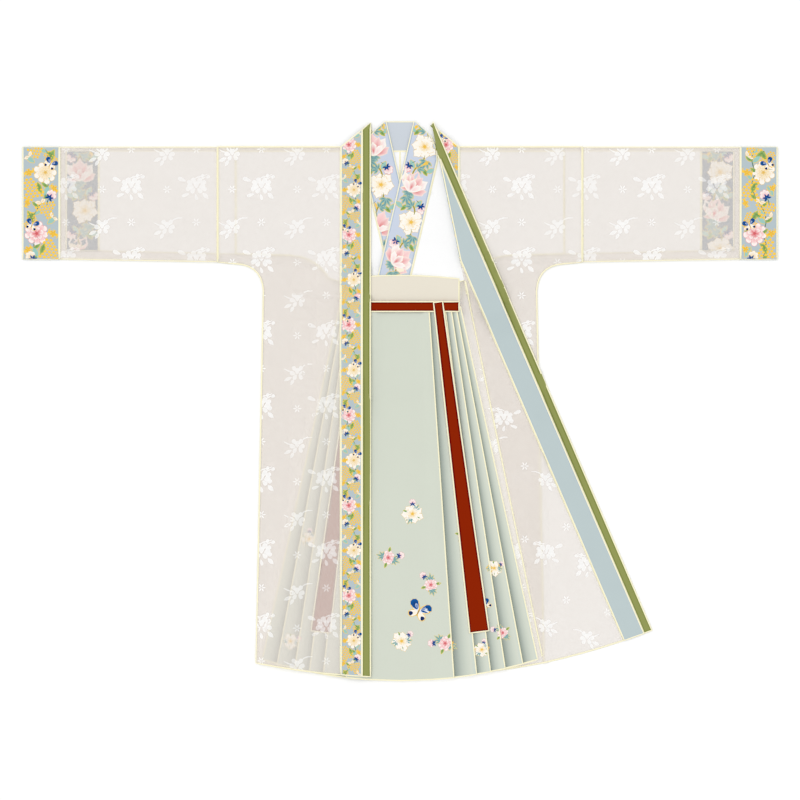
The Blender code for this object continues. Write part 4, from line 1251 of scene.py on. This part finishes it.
@dataclass
class Workshop:
    """What all garments share: the frame, drape, node trees and kit, and the shells and rims made so far.

    A pleat's fold is at least shortest_fold long, and flat_share is where flat cloth takes its painted shade
    from the painted shade across a pleat. Faces that meet at more than sharp_angle keep their edge.
    """

    frame: dict
    drape: Drape = field(default_factory=Drape)
    trees: Trees = field(default_factory=Trees)
    motifs: MotifKit = field(default_factory=MotifKit)
    shortest_fold: float = 0.6
    flat_share: float = 0.75
    sharp_angle: float = math.radians(35)
    shells: dict[str, bpy.types.Object] = field(default_factory=dict)
    rims: dict[str, list[Rim]] = field(default_factory=dict)

    def cloth_of(self, node: str) -> Cloth:
        """The cloth that a piece is cut from, as the record says."""
        for part in self.frame["record"]["subparts"]:
            if part["node"] == node:
                return Cloth(part["material_slot"])
        raise KeyError(node)

    def pieces(self, garment: str) -> list[str]:
        """The shells of one garment, in the order in which they were made."""
        return [node for node in self.shells if node.startswith(garment)]

    def source_mesh(self, node: str) -> bpy.types.Mesh:
        """A merged copy of a piece's solid, with the back edging's end cut off."""
        work = bmesh.new()
        work.from_mesh(self.frame["nodes"][node].data)
        bmesh.ops.remove_doubles(work, verts=work.verts[:], dist=MERGE)
        if node == "robe_edging_back":
            self.tuck_in(work)
        work.normal_update()
        mesh = bpy.data.meshes.new(node + "_merged")
        work.to_mesh(mesh)
        work.free()
        return mesh

    @staticmethod
    def tuck_in(work: bmesh.types.BMesh) -> None:
        """Ends the back edging below the collar, so that nothing of it stands out beside the neck."""
        whole = work.verts[:] + work.edges[:] + work.faces[:]
        cut = bmesh.ops.bisect_plane(
            work, geom=whole, plane_co=(*TUCK_POINT, 0.0), plane_no=TUCK_WAY, clear_outer=True)
        rim = [part for part in cut["geom_cut"] if isinstance(part, bmesh.types.BMEdge)]
        bmesh.ops.holes_fill(work, edges=rim)
        bmesh.ops.recalc_face_normals(work, faces=work.faces[:])

    @staticmethod
    def cut_size(mesh: bpy.types.Mesh, area: float, ribbon: float) -> Place:
        """The width and length that a piece is cut to.

        Args:
            mesh: the piece's shell.
            area: its flat area.
            ribbon: the width of a straight ribbon, or 0 where the cut is another shape.

        Returns:
            Width and length, along the piece's own longer way.
        """
        if ribbon:
            return ribbon, area / ribbon
        flat = np.empty(len(mesh.vertices) * 3)
        mesh.vertices.foreach_get("co", flat)
        plan = flat.reshape(-1, 3)[:, :2]
        spans = []
        for degrees in range(0, 90, TURN_STEP):
            turn = math.radians(degrees)
            across = plan @ np.array((math.cos(turn), math.sin(turn)))
            along = plan @ np.array((-math.sin(turn), math.cos(turn)))
            spans.append((float(np.ptp(across)), float(np.ptp(along))))
        width, length = min(spans, key=lambda pair: pair[0] * pair[1])
        grow = max(1.0, math.sqrt(area / (width * length)) * BOX_MARGIN)
        return width * grow, length * grow

    def shell(self, node: str, rests_on: Sequence[str], held: str = "laid", ribbon: float = 0.0,
              finish: Finish | None = None) -> None:
        """Args:
            node: the piece's solid.
            rests_on: the pieces that it lies on; not used.
            held: how the sheet is held; not used.
            ribbon: the width of a straight ribbon, or 0.
            finish: its finish, where that isn't the cloth's usual one.
        """
        mesh = self.source_mesh(node)
        cloth = self.cloth_of(node)
        pleated = cloth is Cloth.MINT
        self.rims[node] = upper_rims(mesh, pleated)
        folds = upper_rims(mesh, pleated, steep=True) if pleated else []
        work = bmesh.new()
        work.from_mesh(mesh)
        cut_into_cells(work, CELL)
        bmesh.ops.remove_doubles(work, verts=work.verts[:], dist=MERGE)
        work.to_mesh(mesh)
        area = sum(face.calc_area() for face in work.faces) / 2
        work.free()
        if pleated:
            # The pleat map places the painted shade across each pleat
            self.pleat_map(mesh, folds)
        self.drape.apply(mesh)
        mesh.shade_smooth()
        mesh.set_sharp_from_angle(angle=self.sharp_angle)
        shell = as_object(node + "_cloth", mesh)
        mesh.materials.append((finish or FINISHES[cloth]).material())
        shell.visible_shadow = shell.visible_diffuse = cloth not in UNSHADED
        width, length = self.cut_size(mesh, area, ribbon)
        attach(shell, "root")
        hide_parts(node)
        self.shells[node] = shell
        LOG.info("%s: cloth of %.3f square metres, %d triangles", node, area, triangles(mesh))

    def pleat_map(self, mesh: bpy.types.Mesh, folds: list[Rim]) -> None:
        """Stores how far each corner lies from the pleat beside it to its own fold, from 0 to 1.

        Args:
            mesh: the skirt panel's shell.
            folds: the rims that run down the panel, each at the fold of a pleat.
        """
        lines = []
        for rim in folds:
            points = sorted(rim.points, key=lambda p: p.y)
            if points[-1].y - points[0].y > self.shortest_fold:
                lines.append((np.sign(points[0].x), [p.y for p in points], [abs(p.x) for p in points]))

        def folds_at(y: float, side: int) -> list[float]:
            """How far across each fold of one side is at a level."""
            return sorted(float(np.interp(y, ys, xs)) for sign, ys, xs in lines if sign == side)

        layer = mesh.uv_layers.new(name="pleat")
        for face in mesh.polygons:
            side = 1 if face.center.x > 0 else -1
            inner = sum(x < abs(face.center.x) for x in folds_at(face.center.y, side))
            for corner in face.loop_indices:
                point = mesh.vertices[mesh.loops[corner].vertex_index].co
                here = folds_at(point.y, side)
                share = self.flat_share
                if 0 < inner < len(here) and face.normal.z > UPPER_FACE_OF_PLEAT:
                    low, high = here[inner - 1], here[inner]
                    share = min(max((abs(point.x) - low) / (high - low), 0.0), 1.0)
                layer.data[corner].uv = (share, 0.5)
        LOG.info("%d folds of pleats", len(lines))

    def cord(self, name: str, paths: Sequence[Sequence[Vector]], finish: Finish, slot: str,
             width: float = PIPING_WIDTH, height: float = CORD_HEIGHT) -> None:
        """Lays a flat cord along paths on the cloth, where there are any.

        Args:
            name: the piece's name.
            paths: the points of each run.
            finish: the cord's finish.
            slot: the material slot that it belongs to; not used.
            width: the cord's width.
            height: its thickness.
        """
        points, edges = [], []
        for path in paths:
            first = len(points)
            closed = (path[0] - path[-1]).length < MERGE
            run = path[:-1] if closed else path
            points += [tuple(p) for p in run]
            edges += [(first + i, first + i + 1) for i in range(len(run) - 1)]
            if closed:
                edges.append((first + len(run) - 1, first))
        if not points:
            return
        guide = bpy.data.meshes.new(name + "_path")
        guide.from_pydata(points, edges, [])
        base = as_object(name + "_path", guide)
        mesh = Trees.grown(base, self.trees.cord, {
            "Width": width, "Height": height, "Finish": finish.material()})
        self.drape.apply(mesh)
        mesh.shade_smooth()
        made = as_object(name, mesh)
        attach(made, "root")
        LOG.info("%s: %d runs of cord, %d triangles", name, len(paths), triangles(mesh))

    def piping(self, node: str, inset: float = 0.0008) -> None:
        """Pipes the upper edges of a piece in cream, more finely on the collar."""
        paths = [rim.path(inset, PIPING_LIFT) for rim in self.rims[node]]
        width = COLLAR_PIPING_WIDTH if node.startswith("top_collar") else PIPING_WIDTH
        self.cord(node + "_piping", paths, PIPING, self.cloth_of(node).value, width)

    def traced(self, node: str, line: Sequence[Place], lift: float = PIPING_LIFT) -> list[Vector]:
        """Lays a line of plan points on the upper face of a piece, as it is before it is draped.

        Args:
            node: the piece.
            line: the plan points.
            lift: how far above the cloth the line runs.

        Returns:
            The points that meet the piece.
        """
        mesh = self.source_mesh(node)
        faces = BVHTree.FromPolygons([v.co for v in mesh.vertices],
                                     [list(f.vertices) for f in mesh.polygons])
        hits = [faces.ray_cast(Vector((x, y, 1.0)), Vector((0, 0, -1)))[0] for x, y in line]
        return [hit + Vector((0, 0, lift)) for hit in hits if hit is not None]

    def inner_line(self, node: str, finish: Finish, sizes: tuple[float, float]) -> None:
        """Sews a darker line beside the piping of a piece, at an inset and with a width."""
        inset, width = sizes
        paths = [rim.path(inset, LINE_LIFT) for rim in self.rims[node]]
        self.cord(node + "_line", paths, finish, self.cloth_of(node).value, width, LINE_HEIGHT)

    def embroider(self, name: str, node: str, spots: Sequence[Spot], finish: Finish = EMBROIDERY) -> None:
        """Lays motifs down on the cloth of a piece.

        Args:
            name: the new piece's name.
            node: the piece that carries the motifs.
            spots: where the motifs go.
            finish: the thread's finish.
        """
        if not spots:
            return
        base = as_object(name + "_spots", spot_mesh(spots))
        mesh = Trees.grown(base, self.trees.scatter, {
            "Kit": self.motifs.kit, "Cloth": self.shells[node], "Finish": finish.material()})
        if not mesh.polygons:
            LOG.warning("%s: no motif meets the cloth", name)
            return
        made = as_object(name, mesh)
        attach(made, "root")
        made.visible_shadow = made.visible_diffuse = finish is EMBROIDERY
        LOG.info("%s: %d motifs, %d triangles", name, len(spots), triangles(mesh))


def cuff_course(node: str) -> Course:
    """The line down the middle of a cuff."""
    low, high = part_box(node)
    x = (low[0] + high[0]) / 2
    return Course(Vector((x, high[1])), Vector((x, low[1])))


# What fills a ribbon between two flowers: share of the pitch, share of half the width, motif, lean and size
GOLD_PLACES = (
    (0.30, -0.46, Motif.GOLD_NET, 8, 0.94),
    (0.60, 0.30, Motif.GOLD_NET, 62, 0.80),
    (0.80, -0.52, Motif.GOLD_NET, -14, 0.66),
    (0.00, -0.66, Motif.GOLD_SCROLL, 20, 0.80),
    (0.50, -0.74, Motif.GOLD_SCROLL, 70, 0.66),
    (0.26, 0.72, Motif.GOLD_SCROLL, -40, 0.70),
)
LEAF_PLACES = (
    (-0.20, 0.40, Motif.GREEN_LEAF, -30, 1.0),
    (-0.04, 0.80, Motif.GREEN_LEAF, -80, 0.9),
    (0.16, -0.20, Motif.GREEN_LEAF, 200, 1.0),
    (0.22, 0.46, Motif.PALE_LEAF, 150, 1.0),
    (-0.16, -0.36, Motif.PALE_LEAF, 50, 0.9),
    (0.50, 0.02, Motif.WHITE_LEAVES, 25, 0.9),
    (0.74, 0.62, Motif.WHITE_LEAVES, -50, 0.8),
    (0.66, -0.30, Motif.GREEN_LEAF, 120, 0.8),
)


@dataclass
class BandLayout:
    """Flowers, gold and vine along a narrow ribbon, from its top end down."""

    course: Course
    width: float
    pitch: float = BAND_PITCH
    scale: float = 1.0
    seed: int = 3
    first_share: float = 0.42
    overhang: float = 0.02

    def spots(self, first: int = 0) -> list[Spot]:
        """The motifs of the ribbon.

        Args:
            first: which flower the ribbon starts with.

        Returns:
            The spots, from the ground up.
        """
        length = self.course.length
        dice = random.Random(self.seed)
        ground, flowers = [], []

        def put(into: list[Spot], along: float, across: float, motif: Motif, lean: float, size: float,
                mirrored: bool = False) -> None:
            """Adds a motif by its place on the ribbon."""
            if -self.overhang < along < length + self.overhang:
                into.append(self.course.spot(along, across, motif, lean, size * self.scale, mirrored))

        step = self.pitch * self.scale
        half = self.width / 2
        for i in range(-1, math.ceil(length / step) + 1):
            along = (i + self.first_share) * step
            side = 1 if (i + first) % 2 else -1
            pink = side < 0
            put(ground, along + 0.5 * step, 0.0, Motif.VINE, 0, 1.0, side > 0)
            for into, places in ((ground, GOLD_PLACES), (flowers, LEAF_PLACES)):
                for share, reach, motif, lean, size in places:
                    put(into, along + share * step, side * half * reach, motif, side * lean, size)
            flower = Motif.PINK_ROSE if pink else Motif.CREAM_ROSE
            put(flowers, along, side * half * 0.24, flower, dice.uniform(0, 60), dice.uniform(0.94, 1.04))
            bud = Motif.CREAM_BUD if pink else Motif.PINK_BUD
            put(flowers, along + 0.42 * step, side * half * 0.44, bud, -side * 35, 0.95)
            put(flowers, along - 0.13 * step, side * half * 0.50, Motif.BUTTERFLY,
                side * (20 if pink else -30), 0.62)
        return ground + flowers


@dataclass
class Robe:
    """The open gauze robe with its floral bands, green edging, facing and cuffs.

    The damask repeats along columns and rows, where every second column holds the lower layer. The turned
    front has a repeat of its own, and the names of its sizes begin with panel.
    """

    workshop: Workshop
    fold: Fold = field(default_factory=Fold)
    column: float = 0.156
    repeat: float = 0.1752
    first_column: float = 0.2916
    first_row: float = 0.0936
    spray_shift: Place = (-0.070, -0.079)
    panel_start: Place = (0.249, 0.30)
    panel_column: float = 0.100
    panel_stagger: float = 0.146
    panel_star: Place = (0.05, 0.060)
    panel_size: float = 0.92
    bands_top: float = -0.05
    neck_end: float = 0.25

    def dress(self) -> None:
        """Makes every piece of the robe, from the floor up."""
        shop = self.workshop
        for node in ("robe_back", "robe_band_back", "robe_edging_back"):
            shop.shell(node, [])
        for side, held in (("right", "laid"), ("left", "folded")):
            for part, ribbon in (("front", 0.0), ("band", BAND_WIDTH), ("edging", EDGING_WIDTH)):
                shop.shell(f"robe_{part}_{side}", ["robe_back_cloth", "skirt_front_cloth"], held, ribbon)
            shop.shell(f"robe_sleeve_{side}", [])
            shop.shell(f"robe_cuff_{side}", [])
        shop.shell("robe_facing_left", ["robe_front_left_cloth"], "folded", BAND_WIDTH)
        for node in shop.pieces("robe_"):
            shop.piping(node)
        for node in ("robe_edging_right", "robe_edging_left", "robe_edging_back"):
            shop.inner_line(node, OLIVE_LINE, EDGING_LINE)
        for node in ("robe_band_right", "robe_cuff_right", "robe_cuff_left", "robe_facing_left"):
            shop.inner_line(node, BLUE_LINE, BAND_LINE)
        edge = shop.traced("robe_front_left", self.fold.line(FOLD_TOP, ROBE_HEM_DEPTH, FOLD_INSET))
        shop.cord("robe_turned_front_fold", [edge], PIPING, Cloth.GAUZE.value)
        self.weave_damask()
        self.embroider_bands()

    def weave_damask(self) -> None:
        """Weaves flowers and stars into the gauze, in staggered columns."""
        shop = self.workshop
        upper, lower = self.damask_spots(0), self.damask_spots(1)
        for side in ("right", "left"):
            for node in ("robe_sleeve_" + side, "robe_front_" + side):
                for ending, layer, finish in (("_damask", upper, DAMASK),
                                              ("_lower_damask", lower, DAMASK_BELOW)):
                    flat = [spot for spot in self.near(node, layer) if not self.on_turned_front(spot)]
                    shop.embroider(node + ending, node, flat, finish)
        shop.embroider("robe_back_damask", "robe_back", self.near("robe_back", upper), DAMASK)
        panel = [spot for spot in self.panel_spots() if self.on_turned_front(spot)]
        shop.embroider("robe_turned_front_damask", "robe_front_left", panel, DAMASK)

    def damask_spots(self, layer: int) -> list[Spot]:
        """The woven repeat over the robe's whole span.

        Args:
            layer: 0 for the upper layer of gauze, 1 for the lower one, which shows through it.

        Returns:
            The spots.
        """
        spots = []
        for k in range(-4 + layer, 5):
            x = self.first_column + (2 * k - layer) * self.column
            for row in range(-1, 8):
                down = self.first_row + row * self.repeat
                for motif, (shift, step) in ((Motif.WOVEN_ROSE, (0.0, 0.0)),
                                             (Motif.WOVEN_SPRAY, self.spray_shift)):
                    x_here, y_here = on_cloth(x + shift, down + step)
                    spots.append(Spot(x_here, y_here, motif))
                    spots.append(Spot(x_here, y_here - self.repeat / 2, Motif.WOVEN_STAR))
        return spots

    def panel_spots(self) -> list[Spot]:
        """The woven repeat of the turned front, mirrored because its inside shows."""
        spots = []
        for k in range(-4, 6):
            for row in range(-1, 9):
                down = self.panel_start[1] + row * self.repeat + self.panel_stagger * (k % 2)
                x, y = on_cloth(self.panel_start[0] + k * self.panel_column, down)
                motif = Motif.WOVEN_ROSE if (k + row) % 2 == 0 else Motif.WOVEN_SPRAY
                spots.append(Spot(x, y, motif, 0.0, self.panel_size, True))
                spots.append(Spot(x + self.panel_star[0], y + self.panel_star[1], Motif.WOVEN_STAR))
        return spots

    def on_turned_front(self, spot: Spot) -> bool:
        """Whether a spot lies on the front that is turned back."""
        if self.fold.side(spot.x, spot.y) <= 0:
            return False
        x, _ = self.fold.turned(spot.x, spot.y)
        return x > OPENING_EDGE + EDGING_WIDTH

    @staticmethod
    def near(node: str, spots: Sequence[Spot], reach: float = 0.04) -> list[Spot]:
        """The spots inside a piece's box, with a margin."""
        low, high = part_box(node)
        return [spot for spot in spots if low[0] - reach < spot.x < high[0] + reach
                and low[1] - reach < spot.y < high[1] + reach]

    def embroider_bands(self) -> None:
        """Covers the ribbon down the right front, the neck and both cuffs with flowers."""
        shop = self.workshop
        middle = OPENING_EDGE + EDGING_WIDTH + BAND_WIDTH / 2
        for x, name, end, seed in ((-middle, "right", ROBE_HEM_DEPTH, 3), (middle, "left", self.neck_end, 5)):
            node = f"robe_band_{name}"
            course = Course(Vector(on_cloth(x, self.bands_top)), Vector(on_cloth(x, end)))
            shop.embroider(node + "_flowers", node, BandLayout(course, BAND_WIDTH, seed=seed).spots())
        for side, name in ((-1, "right"), (1, "left")):
            node = f"robe_cuff_{name}"
            low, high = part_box(node)
            cuff = BandLayout(cuff_course(node), high[0] - low[0], pitch=0.0945, scale=1.55, seed=7)
            spots = cuff.spots(first=1)
            shop.embroider(node + "_flowers", node, [self.mirror(s) for s in spots] if side > 0 else spots)

    @staticmethod
    def mirror(spot: Spot) -> Spot:
        """The same spot for the other sleeve's cuff."""
        return Spot(spot.x, spot.y, spot.motif, -spot.turn, spot.size, not spot.mirrored)


# What grows between two peonies: share of the pitch, distance from the course, motif, lean and size
PEONY_LEAVES = (
    (0.36, 0.016, Motif.TEAL_LEAVES, 165, 1.15),
    (0.60, -0.002, Motif.TEAL_LEAVES, -60, 1.0),
    (0.40, -0.022, Motif.PALE_LEAF, 215, 1.3),
    (0.74, 0.024, Motif.GREEN_LEAF, 40, 1.2),
    (-0.34, -0.020, Motif.PALE_LEAF, 60, 1.3),
)
PEONY_STEMS = ((0.5, 0.0, Motif.TWIG, 6, 1.0),)
PEONY_BUD = (0.54, -0.022, Motif.PINK_BUD, 150, 1.35)


@dataclass
class Top:
    """The crossed white top with its floral collar and cuffs."""

    workshop: Workshop
    pitch: float = 0.092
    first_share: float = 0.55

    def dress(self) -> None:
        """Makes every piece of the top, from the back up."""
        shop = self.workshop
        for side in ("right", "left"):
            for part, under in (("back", "robe_back"), ("sleeve", "robe_sleeve_" + side),
                                ("cuff", "robe_sleeve_" + side), ("front", "skirt_waistband_back"),
                                ("collar", "top_front_" + side)):
                # The cuffs' finish holds painted shade of the sleeves that lie over them
                finish = CUFF_SILK_PAINTED_SHADE if part == "cuff" else None
                shop.shell(f"top_{part}_{side}", [under + "_cloth"], finish=finish)
        shop.shell("top_collar_back", ["robe_back_cloth"], finish=INNER_COLLAR)
        for node in shop.pieces("top_"):
            shop.piping(node)
        # The collar's darker blue line is painted shade along the inside of the neckband's edges
        for side in ("right", "left"):
            shop.inner_line("top_collar_" + side, BLUE_LINE, COLLAR_PAINTED_SHADE_LINE)
        self.embroider_collar()
        self.embroider_cuffs()

    def embroider_collar(self) -> None:
        """Peonies, buds and teal leaves down both sides of the crossed collar."""
        shop = self.workshop
        for side, name, end, flower in ((-1, "right", -0.020, 0), (1, "left", -0.0405, 1)):
            node = f"top_collar_{name}"
            low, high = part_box(node)
            top, foot = Vector((side * 0.062, high[1] - 0.01)), Vector((end, low[1]))
            shop.embroider(node + "_flowers", node, self.peony_row(Course(top, foot), flower))

    def embroider_cuffs(self) -> None:
        """The same flowers up the cuffs, which show through the robe's sleeves."""
        shop = self.workshop
        for name, flower in (("right", 0), ("left", 1)):
            node = f"top_cuff_{name}"
            shop.embroider(node + "_flowers", node, self.peony_row(cuff_course(node), flower))

    def peony_row(self, course: Course, first: int) -> list[Spot]:
        """Large flowers on one winding stem.

        Args:
            course: the line that the stem winds around.
            first: 0 to start with a pink flower, 1 with a cream one.

        Returns:
            The spots, from the stem up.
        """
        stems, leaves, flowers = [], [], []
        for i in range(-1, math.ceil(course.length / self.pitch) + 1):
            along = (i + self.first_share) * self.pitch
            side = 1 if (i + first) % 2 else -1
            flower = Motif.CREAM_PEONY if side > 0 else Motif.PINK_PEONY
            for into, places in ((stems, PEONY_STEMS), (leaves, PEONY_LEAVES),
                                 (flowers, ((0.0, 0.006, flower, 15 * i, 1.0), PEONY_BUD))):
                for share, across, motif, lean, size in places:
                    into.append(course.spot(along + share * self.pitch, side * across, motif, lean * side,
                                            size, side > 0))
        return stems + leaves + flowers


# The skirt's sprays: across, down, flower, size and lean
BUNCHES = (
    (0.030, 0.880, Motif.CREAM_PEONY, 0.82, 30),
    (-0.028, 0.985, Motif.PINK_ROSE, 0.90, -50),
    (0.074, 1.050, Motif.PINK_ROSE, 0.86, 70),
    (0.004, 1.185, Motif.CREAM_PEONY, 0.78, -20),
    (0.108, 1.190, Motif.PINK_ROSE, 0.95, 120),
    (0.152, 0.930, Motif.PINK_ROSE, 0.70, 40),
    (0.196, 1.205, Motif.CREAM_PEONY, 0.62, 15),
    (0.226, 1.010, Motif.CREAM_PEONY, 0.62, -30),
    (0.246, 1.165, Motif.PINK_ROSE, 0.72, 100),
    (-0.190, 1.110, Motif.PINK_ROSE, 0.72, 10),
    (-0.262, 1.185, Motif.CREAM_PEONY, 0.62, -40),
    (-0.218, 0.940, Motif.CREAM_PEONY, 0.62, 25),
)
BUTTERFLIES = ((0.044, 1.115, -25, 1.65), (0.206, 1.100, 40, 0.90), (-0.160, 0.985, 60, 0.95))


@dataclass
class Skirt:
    """The pleated mint skirt with its waistband, belt and ties."""

    workshop: Workshop

    def dress(self) -> None:
        """Makes every piece of the skirt, from the back up."""
        shop = self.workshop
        for end, under in (("back", ["robe_back_cloth"]), ("front", ["top_front_left_cloth"])):
            shop.shell("skirt_" + end, under, "folded")
            shop.shell("skirt_waistband_" + end, under)
            shop.shell("skirt_belt_" + end, [f"skirt_waistband_{end}_cloth"])
        for side in ("right", "left"):
            shop.shell("skirt_tie_" + side, ["skirt_front_cloth"])
        for node in shop.pieces("skirt_"):
            if not node.endswith("_back"):
                shop.piping(node)
        for node in ("skirt_belt_front", "skirt_tie_right", "skirt_tie_left"):
            shop.inner_line(node, RED_LINE, BELT_LINE)
        shop.embroider("skirt_front_flowers", "skirt_front", self.sprays())

    def sprays(self) -> list[Spot]:
        """Sprays, butterflies and single buds, spread over the flat panel and a few pleats."""
        spots = []
        for across, down, flower, size, lean in BUNCHES:
            x, y = on_cloth(across, down)

            def around(reach: float, turn: float) -> Place:
                """A place around this flower."""
                way = math.radians(turn)
                return x + reach * size * math.cos(way), y + reach * size * math.sin(way)

            for k in range(4):
                turn = lean + 40 + 85 * k
                leaf = Motif.TEAL_LEAVES if k % 2 else Motif.GREEN_LEAF
                spots.append(Spot(*around(0.013, turn + 90), leaf, turn, 0.85 * size))
            spots.append(Spot(x, y, flower, lean, size))
            spots.append(Spot(*around(0.027, lean + 60), Motif.PINK_BUD, lean - 30, 1.1 * size))
        for across, down, lean, size in BUTTERFLIES:
            x, y = on_cloth(across, down)
            spots.append(Spot(x, y, Motif.BUTTERFLY, lean, size))
        return spots


@dataclass(frozen=True)
class Studio:
    """A plain pale floor, soft light from above and the camera straight over the set."""

    lens: float = 85.0
    sensor: float = 36.0
    view_width: float = 1.92
    view_centre_y: float = 0.00265
    sky: float = 0.94
    sun: float = 0.60
    sun_spread: float = math.radians(30)
    sun_way: tuple[float, float, float] = (math.radians(-28), math.radians(-30), 0)
    floor_tone: float = 0.96
    floor_reach: float = 8.0
    floor_level: float = -0.0002

    def set_up(self) -> None:
        """Adds the floor, the light and the camera."""
        scene = bpy.context.scene
        scene.view_settings.view_transform = "Standard"
        floor_mesh = bpy.data.meshes.new("floor")
        corners = [(x * self.floor_reach, y * self.floor_reach, self.floor_level)
                   for x, y in ((-1, -1), (1, -1), (1, 1), (-1, 1))]
        floor_mesh.from_pydata(corners, [], [(0, 1, 2, 3)])
        floor = as_object("floor", floor_mesh)
        paper = bpy.data.materials.new("pale_floor")
        paper.use_nodes = True
        shader = paper.node_tree.nodes["Principled BSDF"]
        shader.inputs["Base Color"].default_value = (self.floor_tone, self.floor_tone, self.floor_tone, 1.0)
        shader.inputs["Roughness"].default_value = 0.9
        shader.inputs["Specular IOR Level"].default_value = 0.1
        floor_mesh.materials.append(paper)

        world = bpy.data.worlds.new("soft_sky")
        world.use_nodes = True
        sky = world.node_tree.nodes["Background"]
        sky.inputs["Color"].default_value = (1.0, 1.0, 1.0, 1.0)
        sky.inputs["Strength"].default_value = self.sky
        scene.world = world
        lamp = bpy.data.lights.new("window_light", "SUN")
        lamp.energy = self.sun
        lamp.angle = self.sun_spread
        light = bpy.data.objects.new("window_light", lamp)
        light.rotation_euler = self.sun_way
        scene.collection.objects.link(light)

        lens = bpy.data.cameras.new("camera")
        lens.lens = self.lens
        lens.sensor_width = self.sensor
        camera = bpy.data.objects.new("camera", lens)
        camera.location = (0.0, self.view_centre_y, self.view_width * self.lens / self.sensor)
        scene.collection.objects.link(camera)
        scene.camera = camera


def main() -> None:
    """Loads the frame, sets up the studio, dresses the three garments and notes their size."""
    logging.basicConfig(level=logging.INFO, format="%(message)s")
    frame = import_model()
    Studio().set_up()
    shop = Workshop(frame)
    for garment in (Robe(shop), Top(shop), Skirt(shop)):
        garment.dress()
        LOG.info("%s is dressed", type(garment).__name__)


if __name__ == "__main__":
    main()
